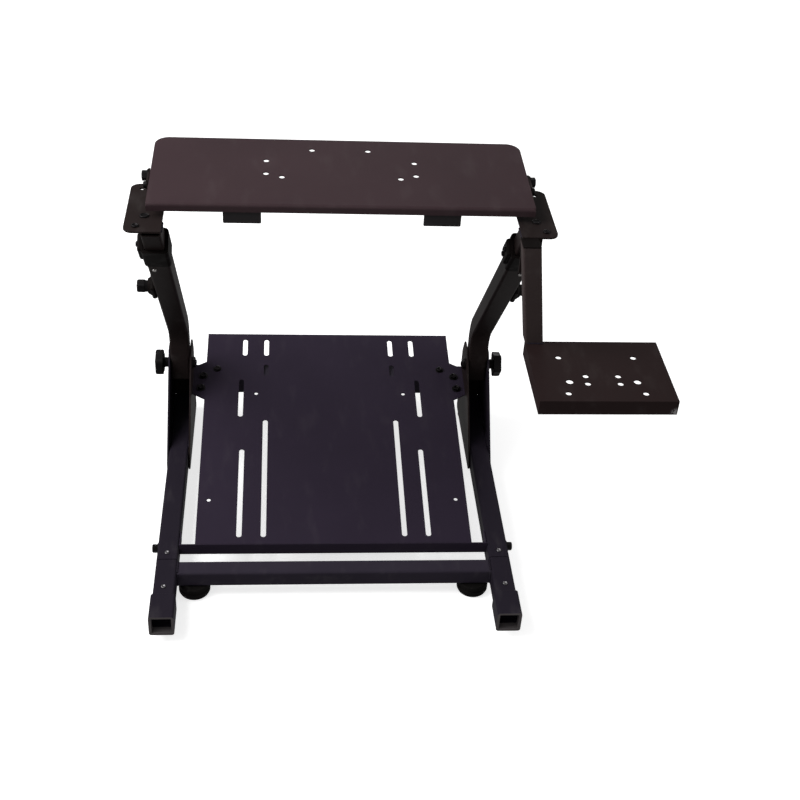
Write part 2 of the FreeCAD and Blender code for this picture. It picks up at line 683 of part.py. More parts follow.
def build_shifter():
    """Splayed shifter post under the right wing, its hanger, and the folded shifter plate."""
    inner = "mid_x + (rail_spacing - post_width) / 2"
    hanger = block(
        "shifter_hanger", (inner, f"{inner} + hanger_width"), (WING_FRONT, f"{WING_FRONT} + bracket_sheet"),
        ("wing_height - hanger_drop", "wing_height"),
    )
    node("shifter_hanger", hanger)
    length = "(shifter_drop / cos(shifter_splay))"
    post = square_tube(
        "shifter_post_tube", "z", "shifter_width", ("-shifter_width", f"{length} + shifter_width"),
        x="shifter_width / 2", y="-shifter_width / 2",
    )
    sideways = FreeCAD.Vector(0, 1, 0)
    put(post, "mid_x + shifter_left", WING_FRONT, SHIFTER_Z, sideways, "-shifter_splay")
    keep = block(
        "shifter_post_room", ("mid_x", "mid_x + rail_spacing"), ("front_y", WING_FRONT),
        (SHIFTER_Z, "wing_height"),
    )
    node("shifter_post", trimmed("shifter_post", post, keep))
    left = "mid_x + shifter_left"
    right = f"{left} + shifter_plate_width"
    rear = f"{WING_FRONT} - shifter_plate_setback"
    front = f"{rear} - shifter_plate_depth"
    tray = block(
        "shifter_plate_blank", (left, right), (front, rear),
        (f"{SHIFTER_Z} - shifter_lip", SHIFTER_Z),
    )
    hollow = block(
        "shifter_plate_hollow", (f"{left} + sheet", f"{right} - sheet"),
        (f"{front} + sheet", f"{rear} - sheet"),
        (f"{SHIFTER_Z} - shifter_lip - overcut", f"{SHIFTER_Z} - sheet"),
    )
    tools = [hollow]
    through = (f"{SHIFTER_Z} - sheet - overcut", f"{SHIFTER_Z} + overcut")
    for name in SHIFTER_HOLES:
        radius = "shifter_big_radius" if name == "shifter_big" else "shifter_hole_radius"
        for side, sign in SIDES.items():
            tools.append(rod(
                f"{name}_{side}", "z", radius, through,
                x=f"({left} + {right}) / 2 + {sign} * {name}_across",
                y=f"({front} + {rear}) / 2 + {name}_behind",
            ))
    node("shifter_plate", cut("shifter_plate", tray, tools))


def star_knob(label, sign, face, stand, thick, radius, stem_radius, stem_end, at):
    """Star knob that points outwards on its screw, from a face of the stand."""
    def outwards(first, second):
        """Span from the first distance off the middle to the second, on the knob's side."""
        if sign > 0:
            return f"mid_x + {first}", f"mid_x + {second}"
        return f"mid_x - ({second})", f"mid_x - ({first})"

    head = outwards(f"{face} + {stand}", f"{face} + {stand} + {thick}")
    lobe = f"{radius} / 3"
    neck = outwards(f"{face} + {stand} / 3", f"{face} + {stand}")
    parts = [
        rod(f"{label}_hub", "x", f"{radius} * 3 / 4", head, **at),
        rod(f"{label}_neck", "x", f"{stem_radius} * 2", neck, **at),
        rod(f"{label}_screw", "x", stem_radius, outwards(stem_end, f"{face} + {stand}"), **at),
    ]
    for index in range(KNOB_LOBES):
        turn = f"{index} * 360 / {KNOB_LOBES}"
        ring = f"({radius} - {lobe})"
        place = {"y": f"{at['y']} + {ring} * sin({turn})", "z": f"{at['z']} + {ring} * cos({turn})"}
        parts.append(rod(f"{label}_lobe_{index}", "x", lobe, head, **place))
    node(label, joined(label, parts))


def build_knobs():
    """Fold knobs on the pivot screws and height knobs that press on the posts."""
    for side, sign in SIDES.items():
        star_knob(
            f"{side}_fold_knob", sign, f"rail_spacing / 2 + {GUSSET_GAP} / 2 + bracket_sheet",
            "fold_knob_stand", "fold_knob_thick", "fold_knob_radius", "pivot_radius",
            f"rail_spacing / 2 - {GUSSET_GAP} / 2 - bracket_sheet - knob_tail",
            {"y": PIVOT_Y, "z": "pivot_height"},
        )
        star_knob(
            f"{side}_height_knob", sign, f"rail_spacing / 2 + ({ARM_WIDTH}) / 2",
            "height_knob_stand", "height_knob_thick", "height_knob_radius", "knob_stem_radius",
            "rail_spacing / 2 + post_width / 2 + pin_clearance", on_arm("height_knob_place"),
        )


def check_and_export():
    """Stop on any failed object, then write one file for each piece."""
    doc.recompute()
    for thing in doc.Objects:
        if "Invalid" in thing.State or "Error" in thing.State:
            raise RuntimeError(f"{thing.Name} did not build")
    os.makedirs("parts", exist_ok=True)
    whole = FreeCAD.BoundBox()
    for label, thing in nodes.items():
        shape = thing.Shape
        if shape.isNull() or not shape.isValid() or not shape.Solids:
            raise RuntimeError(f"{label} is not a valid solid")
        shape.exportStep(f"parts/{label}.step")
        whole.add(shape.BoundBox)
    print(len(nodes), "pieces within", whole)


build_base_tubes()
build_pads()
build_gussets()
build_pedal_plate()
build_arms()
build_posts()
build_head_brackets()
build_wheel_plate()
build_shifter()
build_knobs()
check_and_export()
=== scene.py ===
"""Looks of a folding racing wheel stand: coated square tube, sheet plates, rubber pads and knobs."""

import json
import logging
import math
from dataclasses import dataclass, field
from enum import Enum
from typing import Iterable, Sequence

import bmesh
import bpy
from mathutils import Matrix, Vector


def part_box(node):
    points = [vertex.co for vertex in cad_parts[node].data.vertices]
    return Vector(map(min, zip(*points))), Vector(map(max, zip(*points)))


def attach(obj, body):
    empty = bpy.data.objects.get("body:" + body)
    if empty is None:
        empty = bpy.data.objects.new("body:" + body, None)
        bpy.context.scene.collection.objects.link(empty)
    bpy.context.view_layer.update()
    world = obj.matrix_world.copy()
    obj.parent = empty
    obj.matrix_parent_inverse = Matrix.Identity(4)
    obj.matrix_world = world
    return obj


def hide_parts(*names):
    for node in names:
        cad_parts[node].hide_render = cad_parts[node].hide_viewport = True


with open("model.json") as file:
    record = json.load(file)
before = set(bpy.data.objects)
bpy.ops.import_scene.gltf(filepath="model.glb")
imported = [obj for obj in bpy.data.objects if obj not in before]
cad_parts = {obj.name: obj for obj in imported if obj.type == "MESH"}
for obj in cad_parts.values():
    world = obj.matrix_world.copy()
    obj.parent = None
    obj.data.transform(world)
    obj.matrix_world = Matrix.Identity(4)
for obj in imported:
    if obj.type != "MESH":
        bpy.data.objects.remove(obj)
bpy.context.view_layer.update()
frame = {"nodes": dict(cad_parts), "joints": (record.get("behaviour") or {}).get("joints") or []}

logging.basicConfig(level=logging.INFO, format="%(message)s")
log = logging.getLogger("racing_wheel_stand")

Number = "float | Value"
Triple = tuple[float, float, float]
Color = Triple
Box = tuple[Vector, Vector]

ALONG_X = Vector((1, 0, 0))
ALONG_Y = Vector((0, 1, 0))
UP = Vector((0, 0, 1))


class Slot(Enum):
    """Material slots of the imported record."""

    FRAME = "frame_coat"
    DECK = "deck_coat"
    PEDAL = "pedal_coat"
    SHIFTER = "shifter_coat"
    RUBBER = "rubber"
    KNOB = "knob_plastic"
    COLLAR = "collar_plastic"


class Side(Enum):
    """Left or right half of the stand, with its direction along X."""

    LEFT = -1
    RIGHT = 1

    @property
    def label(self) -> str:
        """Word that starts the names of this side's pieces."""
        return self.name.lower()

    @property
    def out(self) -> Vector:
        """Direction away from the middle of the stand."""
        return Vector((self.value, 0, 0))

    def outer(self, box: Box) -> float:
        """X of a box's face on the outer side."""
        return box[1].x if self is Side.RIGHT else box[0].x

    def inner(self, box: Box) -> float:
        """X of a box's face on the inner side."""
        return box[0].x if self is Side.RIGHT else box[1].x


class Head(Enum):
    """Kinds of fastener heads: number of sides, and share of the height that is rounded."""

    HEX = (6, 0.18)
    ROUND = (32, 0.45)


class Value:
    """Socket of a node tree that takes part in Python arithmetic."""

    def __init__(self, graph: "Graph", socket: bpy.types.NodeSocket) -> None:
        """Keep the socket and the graph that it belongs to."""
        self.graph = graph
        self.socket = socket

    def _math(self, operation: str, first: Number, second: Number) -> "Value":
        """Result of one Math node on two inputs."""
        return self.graph.add("ShaderNodeMath", {"operation": operation}, {0: first, 1: second})

    def __add__(self, other: Number) -> "Value":
        """Sum of two values."""
        return self._math("ADD", self, other)

    __radd__ = __add__

    def __sub__(self, other: Number) -> "Value":
        """Difference of two values."""
        return self._math("SUBTRACT", self, other)

    def __rsub__(self, other: Number) -> "Value":
        """Difference with the value on the right."""
        return self._math("SUBTRACT", other, self)

    def __mul__(self, other: Number) -> "Value":
        """Product of two values."""
        return self._math("MULTIPLY", self, other)

    __rmul__ = __mul__

    def above(self, low: float, high: float) -> "Value":
        """Soft step of the value.

        Args:
            low: Value at which the step starts.
            high: Value at which the step is complete.

        Returns:
            A value from 0 to 1.
        """
        return self.graph.add(
            "ShaderNodeMapRange", {"interpolation_type": "SMOOTHSTEP"},
            {"Value": self, "From Min": low, "From Max": high},
        )


class Graph:
    """Node tree of one material with its Principled shader."""

    def __init__(self, name: str) -> None:
        """Start an empty material.

        Args:
            name: Name of the material.
        """
        self.material = bpy.data.materials.new(name)
        self.material.use_nodes = True
        self.tree = self.material.node_tree
        self.tree.nodes.clear()
        output = self.tree.nodes.new("ShaderNodeOutputMaterial")
        self.shader = self.tree.nodes.new("ShaderNodeBsdfPrincipled")
        self.tree.links.new(self.shader.outputs[0], output.inputs["Surface"])
        self.place = self.add("ShaderNodeTexCoord", {}, {}, "Object")

    def add(self, kind: str, settings: dict, inputs: dict, output: int | str = 0) -> Value:
        """Add one node.

        Args:
            kind: Type of the node.
            settings: Properties of the node, set first.
            inputs: Values or links of its sockets, by name or number.
            output: Name or number of the wanted result.

        Returns:
            The wanted output socket.
        """
        node = self.tree.nodes.new(kind)
        for key, setting in settings.items():
            setattr(node, key, setting)
        for key, value in inputs.items():
            self.feed(node.inputs[key], value)
        return Value(self, node.outputs[output])

    def feed(self, socket: bpy.types.NodeSocket, value: object) -> None:
        """Link a value to a socket, or set the socket to a plain number or colour.

        Args:
            socket: Socket that takes the value.
            value: Value of the tree, number or colour.
        """
        if isinstance(value, Value):
            self.tree.links.new(value.socket, socket)
        else:
            socket.default_value = value

    def noise(self, scale: float, detail: float, stretch: Sequence[float] | None = None) -> Value:
        """Cloudy pattern on the piece.

        Args:
            scale: Features per metre, roughly.
            detail: Number of finer layers.
            stretch: Scale of the pattern along each axis, even if left out.

        Returns:
            A value from 0 to 1.
        """
        vector = self.place
        if stretch:
            vector = self.add("ShaderNodeMapping", {}, {"Vector": vector, "Scale": stretch})
        return self.add("ShaderNodeTexNoise", {}, {"Vector": vector, "Scale": scale, "Detail": detail})

    def near(self, point: Sequence[float], reach: float, core: float = 0.3) -> Value:
        """Mask round one point of the stand.

        Args:
            point: Middle of the mask in metres.
            reach: Distance at which the mask ends.
            core: Share of the reach inside which the mask is full.

        Returns:
            A value that falls from 1 in the core to 0 at the reach.
        """
        settings = {"operation": "DISTANCE"}
        distance = self.add("ShaderNodeVectorMath", settings, {0: self.place, 1: tuple(point)}, "Value")
        return 1 - distance.above(reach * core, reach)

    def blend(self, factor: Number, first: object, second: object) -> Value:
        """Mix of two colours, where the factor is the second one's share."""
        return self.add("ShaderNodeMix", {"data_type": "RGBA"}, {"Factor": factor, 6: first, 7: second}, 2)

    def bump(self, height: Value, strength: float, depth: float) -> Value:
        """Normal that follows a height pattern, with the pattern's depth in metres."""
        return self.add("ShaderNodeBump", {}, {"Strength": strength, "Distance": depth, "Height": height})

    def finish(self, **sockets: object) -> bpy.types.Material:
        """Set the Principled shader's sockets.

        Args:
            **sockets: Values or links by socket name, with _ for spaces.

        Returns:
            The finished material.
        """
        for key, value in sockets.items():
            self.feed(self.shader.inputs[key.replace("_", " ")], value)
        return self.material


def opaque(color: Color, gain: float = 1.0) -> tuple[float, float, float, float]:
    """Colour with full alpha, lightened by a gain."""
    return (color[0] * gain, color[1] * gain, color[2] * gain, 1.0)


@dataclass(frozen=True)
class PowderCoat:
    """Baked powder coat with a fine orange peel, faint clouding and dust, its scales per metre."""

    name: str
    slot: Slot
    color: Color
    roughness: float
    specular: float
    dust: float = 0.05
    chips: tuple[tuple[float, float, float, float], ...] = ()
    cloud_scale: float = 7.0
    peel_scale: float = 700.0
    speck_scale: float = 2600.0
    rub_scale: float = 38.0
    rub_stretch: Triple = (1.0, 0.35, 1.0)
    chip_scale: float = 420.0
    peel: float = 0.16
    peel_depth: float = 0.0004
    dust_color: Color = (0.32, 0.30, 0.29)
    bare_color: Color = (0.30, 0.29, 0.29)

    def material(self) -> bpy.types.Material:
        """Build the coat's node tree.

        Returns:
            The finished material.
        """
        graph = Graph(self.name)
        clouds = graph.noise(self.cloud_scale, 3.0)
        peel = graph.noise(self.peel_scale, 1.0)
        specks = graph.noise(self.speck_scale, 0.0)
        rubs = graph.noise(self.rub_scale, 5.0, self.rub_stretch)
        tone = clouds * 0.55 + peel * 0.25 + specks * 0.2
        color = graph.blend(tone, opaque(self.color, 0.72), opaque(self.color, 1.28))
        dusty = rubs.above(0.52, 0.78) * self.dust
        color = graph.blend(dusty, color, opaque(self.dust_color))
        rough = self.roughness + (peel - 0.5) * 0.14 + (clouds - 0.5) * 0.1 + dusty * 1.2
        for *spot, reach in self.chips:
            worn = graph.near(spot, reach) * graph.noise(self.chip_scale, 3.0).above(0.4, 0.52)
            color = graph.blend(worn, color, opaque(self.bare_color))
        return graph.finish(
            Base_Color=color, Roughness=rough, Specular_IOR_Level=self.specular,
            Normal=graph.bump(peel * 0.7 + specks * 0.3, self.peel, self.peel_depth),
        )


@dataclass(frozen=True)
class MouldedPlastic:
    """Black moulded plastic with a fine spark-eroded grain, its scales per metre."""

    name: str
    slot: Slot
    color: Color
    roughness: float = 0.5
    specular: float = 0.08
    grain_scale: float = 1500.0
    handling_scale: float = 55.0
    grain: float = 0.22
    grain_depth: float = 0.0003

    def material(self) -> bpy.types.Material:
        """Build the plastic's node tree.

        Returns:
            The finished material.
        """
        graph = Graph(self.name)
        grain = graph.noise(self.grain_scale, 2.0)
        handling = graph.noise(self.handling_scale, 4.0)
        tone = grain * 0.5 + handling * 0.5
        color = graph.blend(tone, opaque(self.color, 0.7), opaque(self.color, 1.5))
        rough = self.roughness + (grain - 0.5) * 0.2 - handling.above(0.5, 0.75) * 0.12
        return graph.finish(
            Base_Color=color, Roughness=rough, Specular_IOR_Level=self.specular,
            Normal=graph.bump(grain, self.grain, self.grain_depth),
        )


@dataclass(frozen=True)
class Rubber:
    """Matt black rubber with faint scuffs and dust, its scales per metre."""

    name: str
    slot: Slot
    color: Color
    roughness: float = 0.72
    specular: float = 0.06
    fine_scale: float = 900.0
    scuff_scale: float = 70.0
    scuff_stretch: Triple = (1.0, 1.0, 0.4)
    scuff_color: Color = (0.2, 0.19, 0.18)
    relief: float = 0.3
    relief_depth: float = 0.0004

    def material(self) -> bpy.types.Material:
        """Build the rubber's node tree.

        Returns:
            The finished material.
        """
        graph = Graph(self.name)
        fine = graph.noise(self.fine_scale, 3.0)
        scuffs = graph.noise(self.scuff_scale, 5.0, self.scuff_stretch)
        color = graph.blend(fine, opaque(self.color, 0.7), opaque(self.color, 1.4))
        color = graph.blend(scuffs.above(0.55, 0.8) * 0.12, color, opaque(self.scuff_color))
        return graph.finish(
            Base_Color=color, Roughness=self.roughness + (fine - 0.5) * 0.2,
            Specular_IOR_Level=self.specular,
            Normal=graph.bump(fine * 0.6 + scuffs * 0.4, self.relief, self.relief_depth),
        )


@dataclass(frozen=True)
class PlatedSteel:
    """Zinc or black plated steel of the screws, nuts and pins, its scales per metre."""

    name: str
    color: Color
    roughness: float
    slot: Slot | None = None
    brush_scale: float = 420.0
    brush_stretch: Triple = (1.0, 1.0, 6.0)
    stain_scale: float = 120.0
    relief: float = 0.1
    relief_depth: float = 0.0002

    def material(self) -> bpy.types.Material:
        """Build the plating's node tree.

        Returns:
            The finished material.
        """
        graph = Graph(self.name)
        brushed = graph.noise(self.brush_scale, 4.0, self.brush_stretch)
        stain = graph.noise(self.stain_scale, 3.0)
        color = graph.blend(stain, opaque(self.color, 0.65), opaque(self.color, 1.15))
        rough = self.roughness + (brushed - 0.5) * 0.2 + stain.above(0.5, 0.8) * 0.1
        return graph.finish(
            Base_Color=color, Metallic=1.0, Roughness=rough,
            Normal=graph.bump(brushed, self.relief, self.relief_depth),
        )


@dataclass(frozen=True)
class PaleFloor:
    """Plain pale studio floor with an even glow that keeps shadows soft."""

    name: str = "pale_floor"
    color: Color = (0.80, 0.80, 0.80)
    glow: float = 0.70
    roughness: float = 0.9
    cloud_scale: float = 1.5

    def material(self) -> bpy.types.Material:
        """Build the floor's node tree.

        Returns:
            The finished material.
        """
        graph = Graph(self.name)
        clouds = graph.noise(self.cloud_scale, 1.0)
        color = graph.blend(clouds, opaque(self.color, 0.99), opaque(self.color))
        return graph.finish(
            Base_Color=color, Roughness=self.roughness, Specular_IOR_Level=0.0,
            Emission_Color=opaque((1.0, 1.0, 1.0)), Emission_Strength=self.glow,
        )


Finish = PowderCoat | MouldedPlastic | Rubber | PlatedSteel | PaleFloor


class Paints:
    """The stand's finishes, each made once."""

    FRAME = PowderCoat("frame_black_coat", Slot.FRAME, (0.0185, 0.0150, 0.0226), 0.46, 0.035)
    # Crossbar coat: a lighter copy of the frame coat, painted light for the light that falls on the
    # crossbars' tops.
    CROSSBAR = PowderCoat("crossbar_black_coat", Slot.FRAME, (0.0310, 0.0255, 0.0378), 0.46, 0.035)
    ARM = PowderCoat("arm_black_coat", Slot.FRAME, (0.0185, 0.0132, 0.0128), 0.40, 0.03)
    # Pale rim coat: a painted highlight on the coated front edges of the foot sleeves, also used on their
    # liners.
    RIM = PowderCoat("sawn_rim_coat", Slot.FRAME, (0.110, 0.098, 0.100), 0.55, 0.10, 0.10)
    DECK = PowderCoat("wheel_plate_coat", Slot.DECK, (0.0455, 0.0278, 0.0318), 0.46, 0.08, 0.03)
    TAB = PowderCoat("front_tab_coat", Slot.DECK, (0.0280, 0.0255, 0.0270), 0.50, 0.03, 0.03)
    PEDAL = PowderCoat("pedal_plate_coat", Slot.PEDAL, (0.0272, 0.0200, 0.0340), 0.50, 0.05, 0.02)
    SHIFTER = PowderCoat(
        "shifter_plate_coat", Slot.SHIFTER, (0.0215, 0.0128, 0.0128), 0.50, 0.06, 0.03,
        chips=((0.406, -0.308, 0.440, 0.012),),
    )
    # Shifter post coat: a lighter copy of the shifter coat, painted light for the light that falls on the
    # post's front face.
    SHIFTER_POST = PowderCoat(
        "shifter_post_coat", Slot.SHIFTER, (0.0520, 0.0385, 0.0380), 0.50, 0.05, 0.03,
    )
    KNOB = MouldedPlastic("knob_black_plastic", Slot.KNOB, (0.0065, 0.0058, 0.0062))
    COLLAR = MouldedPlastic("collar_black_plastic", Slot.COLLAR, (0.0060, 0.0046, 0.0044), specular=0.03)
    RUBBER = Rubber("pad_black_rubber", Slot.RUBBER, (0.0070, 0.0060, 0.0058))
    BLACK_STEEL = PlatedSteel("black_plated_steel", (0.022, 0.020, 0.021), 0.45)
    DULL_STEEL = PlatedSteel("dull_zinc_steel", (0.26, 0.25, 0.26), 0.38)
    BRIGHT_STEEL = PlatedSteel("bright_zinc_steel", (0.62, 0.60, 0.58), 0.28)
    FLOOR = PaleFloor()

    _made: dict[str, bpy.types.Material] = {}

    @classmethod
    def of(cls, finish: Finish) -> bpy.types.Material:
        """Material of a finish, built on first use.

        Args:
            finish: Finish of a surface.

        Returns:
            The material.
        """
        if finish.name not in cls._made:
            cls._made[finish.name] = finish.material()
        return cls._made[finish.name]


@dataclass(frozen=True)
class Layout:
    """Places that the pieces share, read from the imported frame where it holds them."""

    arm_knee: float = 0.2365
    arm_bend: float = 0.080
    arm_reach: float = 0.4520
    wing_height: float = 0.627
    wing_sheet: float = 0.003

    def joint(self, name: str) -> dict:
        """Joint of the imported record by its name."""
        return next(joint for joint in frame["joints"] if joint["name"] == name)

    @property
    def mid_x(self) -> float:
        """Middle of the frame across the stand."""
        return (self.rail_x(Side.LEFT) + self.rail_x(Side.RIGHT)) / 2

    def rail_x(self, side: Side) -> float:
        """Middle of one rail, arm and post."""
        low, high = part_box(f"{side.label}_rail")
        return (low.x + high.x) / 2

    @property
    def front_y(self) -> float:
        """Front end of the foot sleeves."""
        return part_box("left_foot_sleeve")[0].y

    @property
    def pivot(self) -> Vector:
        """Middle of the fold pivot."""
        return Vector(self.joint("arm_fold")["pos_m"])

    @property
    def slant(self) -> Vector:
        """Direction of the slanted reach of the arms, upwards."""
        return Vector(self.joint("post_height")["axis"]).normalized()

    @property
    def square(self) -> Vector:
        """Direction square to the slant, towards the driver and down."""
        return Vector((0, -self.slant.z, self.slant.y))

    @property
    def lean(self) -> float:
        """Angle of the slanted reach from the vertical."""
        return math.atan2(-self.slant.y, self.slant.z)

    def on_arm(self, side: Side, distance: float, forward: float = 0.0, across: float = 0.0) -> Vector:
        """Point up one arm's slant from its knee, moved forward square to it and across along X."""
        corner = Vector((self.rail_x(side), self.pivot.y, self.arm_knee))
        return corner + self.slant * distance + self.square * forward + ALONG_X * across


def facing(direction: Vector, origin: Vector, across: Vector = ALONG_X) -> Matrix:
    """Transform that lays local Z along a direction.

    Args:
        direction: Where local Z points.
        origin: Where the local origin goes.
        across: Rough direction of local X.

    Returns:
        The transform.
    """
    nearly_parallel = 0.95
    z_axis = direction.normalized()
    if abs(z_axis.dot(across)) > nearly_parallel:
        across = UP
    y_axis = z_axis.cross(across).normalized()
    x_axis = y_axis.cross(z_axis)
    return Matrix.Translation(origin) @ Matrix((x_axis, y_axis, z_axis)).transposed().to_4x4()


def edges_of(verts: Iterable[bmesh.types.BMVert]) -> list[bmesh.types.BMEdge]:
    """Edges that meet some vertices, each once and in a steady order."""
    return list(dict.fromkeys(edge for vert in verts for edge in vert.link_edges))


class Workpiece:
    """Mesh of one piece while it is modelled, and the piece that comes of it."""

    drop_pitch = 1.1
    drop_swell = 0.1
    drop_phase = 2.4
    drop_flat = 0.8
    corner_steps = 5

    def __init__(self) -> None:
        """Start an empty mesh."""
        self.bm = bmesh.new()

    def bevel(self, edges: Iterable[bmesh.types.BMEdge], offset: float, segments: int = 3) -> list:
        """Round a set of edges.

        Args:
            edges: Edges to round.
            offset: Width of the rounding on each face.
            segments: Number of steps in the rounding.

        Returns:
            The faces of the rounding.
        """
        return bmesh.ops.bevel(
            self.bm, geom=list(edges), offset=offset, offset_type="OFFSET", affect="EDGES",
            segments=segments, profile=0.5, material=-1, clamp_overlap=True,
        )["faces"]

    def round_corners(self, verts: list, offset: float, segments: int, kind: str = "OFFSET") -> list:
        """Round the corners of a flat face.

        Args:
            verts: Corners to round.
            offset: How far each rounding reaches along the sides.
            segments: Number of steps in the rounding.
            kind: Unit of the offset, a length or a percentage of the side.

        Returns:
            The vertices of the roundings.
        """
        return bmesh.ops.bevel(
            self.bm, geom=verts, offset=offset, offset_type=kind, affect="VERTICES",
            segments=segments, profile=0.5, material=-1,
        )["verts"]

    def rounded_square(self, width: float, corner: float, at: Matrix) -> bmesh.types.BMFace:
        """Square face of a width across its flats, with rounded corners."""
        made = bmesh.ops.create_grid(self.bm, x_segments=1, y_segments=1, size=width / 2, matrix=at)
        return self.round_corners(made["verts"], corner, self.corner_steps)[0].link_faces[0]

    def push(self, face: bmesh.types.BMFace, run: Vector) -> bmesh.types.BMFace:
        """Extrude a face by a vector.

        Args:
            face: Face to extrude.
            run: How far it goes.

        Returns:
            The face at the far end.
        """
        grown = bmesh.ops.extrude_face_region(self.bm, geom=[face])["geom"]
        corners = [item for item in grown if isinstance(item, bmesh.types.BMVert)]
        bmesh.ops.translate(self.bm, verts=corners, vec=run)
        return next(item for item in grown if isinstance(item, bmesh.types.BMFace))

    def sink(self, face: bmesh.types.BMFace, inset: float, run: Vector) -> None:
        """Inset a face, which leaves a strip of that width round it, and move it."""
        bmesh.ops.inset_region(self.bm, faces=[face], thickness=inset)
        bmesh.ops.translate(self.bm, verts=list(face.verts), vec=run)

    def hollow(self, ends: Iterable[bmesh.types.BMFace], wall: float) -> None:
        """Open a closed bar at its ends and give the skin a wall inwards.

        Args:
            ends: End faces to take off.
            wall: Thickness of the wall.
        """
        self.face_out()
        bmesh.ops.delete(self.bm, geom=list(ends), context="FACES_ONLY")
        bmesh.ops.solidify(self.bm, geom=self.bm.faces[:], thickness=wall)

    def face_out(self) -> None:
        """Turn every face outwards."""
        bmesh.ops.recalc_face_normals(self.bm, faces=self.bm.faces[:])

    def slice(self, point: Vector, normal: Vector) -> None:
        """Cut away all that lies on the far side of a plane.

        Args:
            point: Point on the plane.
            normal: Direction of the side that goes.
        """
        everything = self.bm.verts[:] + self.bm.edges[:] + self.bm.faces[:]
        bmesh.ops.bisect_plane(
            self.bm, geom=everything, plane_co=point, plane_no=normal, clear_outer=True,
        )

    def cylinder(
        self, radius: float, depth: float, at: Matrix, segments: int = 32, top: float | None = None,
    ) -> list:
        """Round, tapered or many-sided bar that stands on its place.

        Args:
            radius: Radius at the foot.
            depth: Length along local Z.
            at: Place and turn of the foot.
            segments: Number of sides.
            top: Radius at the far end, the same as the foot's if left out.

        Returns:
            The bar's vertices.
        """
        return bmesh.ops.create_cone(
            self.bm, cap_ends=True, segments=segments, radius1=radius,
            radius2=radius if top is None else top, depth=depth,
            matrix=at @ Matrix.Translation((0, 0, depth / 2)),
        )["verts"]

    def block(self, size: Sequence[float], at: Matrix, rounding: float) -> None:
        """Box with rounded edges, placed and turned by its middle."""
        made = bmesh.ops.create_cube(self.bm, size=1.0, matrix=at @ Matrix.Diagonal((*size, 1.0)))
        self.bevel(edges_of(made["verts"]), rounding)

    def seam(self, at: Sequence[float], axis: int, low: float, high: float, radius: float) -> None:
        """Weld bead along one axis of the stand: a row of overlapping drops.

        Args:
            at: Point on the seam's line.
            axis: Number of the axis that the seam runs along.
            low: Where it starts on that axis.
            high: Where it ends on that axis.
            radius: Size of a drop.
        """
        start, end = Vector(at), Vector(at)
        start[axis], end[axis] = low, high
        run = end - start
        count = max(2, int(run.length / (radius * self.drop_pitch)))
        for index in range(count + 1):
            swell = 1.0 + self.drop_swell * math.sin(index * self.drop_phase)
            spread = Matrix.Diagonal((swell, swell, self.drop_flat, 1.0))
            drop = facing(run, start + run * (index / count)) @ spread
            bmesh.ops.create_icosphere(self.bm, subdivisions=2, radius=radius, matrix=drop)

    def dress(
        self, name: str, finish: Finish, body: str, replaces: Sequence[str] = (), angle: float = 32.0,
    ) -> bpy.types.Object:
        """Turn the mesh into a piece of the stand.

        Args:
            name: Name of the piece.
            finish: Finish of its surface.
            body: Body of the frame that it moves with.
            replaces: Nodes of the frame that it stands for.
            angle: Edges sharper than this, in degrees, stay sharp.

        Returns:
            The new object.
        """
        mesh = bpy.data.meshes.new(name)
        self.bm.to_mesh(mesh)
        self.bm.free()
        mesh.shade_smooth()
        mesh.set_sharp_from_angle(angle=math.radians(angle))
        piece = bpy.data.objects.new(name, mesh)
        bpy.context.scene.collection.objects.link(piece)
        even = piece.modifiers.new("even_normals", "WEIGHTED_NORMAL")
        even.keep_sharp = True
        mesh.materials.append(Paints.of(finish))
        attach(piece, body)
        if replaces:
            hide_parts(*replaces)
        log.info("%s: %d faces on %s", name, len(mesh.polygons), body)
        return piece


@dataclass
class SheetPart:
    """Plate of cut and folded sheet, with the burr taken off its edges."""

    node: str
    finish: Finish
    body: str
    rounding: float
    bend: float = 0.0
    bend_steps: int = 6
    merge: float = 0.00002
    flat: float = 0.8
    crease: float = 40.0

    def fold(self, work: Workpiece) -> None:
        """Round the outer corner where the front lip folds down.

        Args:
            work: Merged copy of the plate.
        """
        square_on = 0.9
        shortest = 8 * self.bend
        work.bm.normal_update()
        corner = []
        for edge in work.bm.edges:
            ahead = min((face.normal.y for face in edge.link_faces), default=0.0)
            above = max((face.normal.z for face in edge.link_faces), default=0.0)
            if ahead < -square_on and above > square_on and edge.calc_length() > shortest:
                corner.append(edge)
        work.bevel(corner, self.bend, self.bend_steps)

    def build(self) -> None:
        """Round the edges of a copy of the plate, which then stands for it."""
        work = Workpiece()
        work.bm.from_mesh(frame["nodes"][self.node].data)
        bmesh.ops.remove_doubles(work.bm, verts=work.bm.verts[:], dist=self.merge)
        bmesh.ops.dissolve_limit(
            work.bm, angle_limit=math.radians(self.flat), verts=work.bm.verts[:], edges=work.bm.edges[:],
        )
        if self.bend:
            self.fold(work)
        piece = work.dress(f"{self.node}_sheet", self.finish, self.body, [self.node], self.crease)
        burr = piece.modifiers.new("burr", "BEVEL")
        burr.width = self.rounding
        burr.segments = 2
        burr.limit_method = "ANGLE"
        burr.angle_limit = math.radians(self.crease)
        burr.use_clamp_overlap = True
        burr.harden_normals = False
        piece.modifiers.move(len(piece.modifiers) - 1, 0)


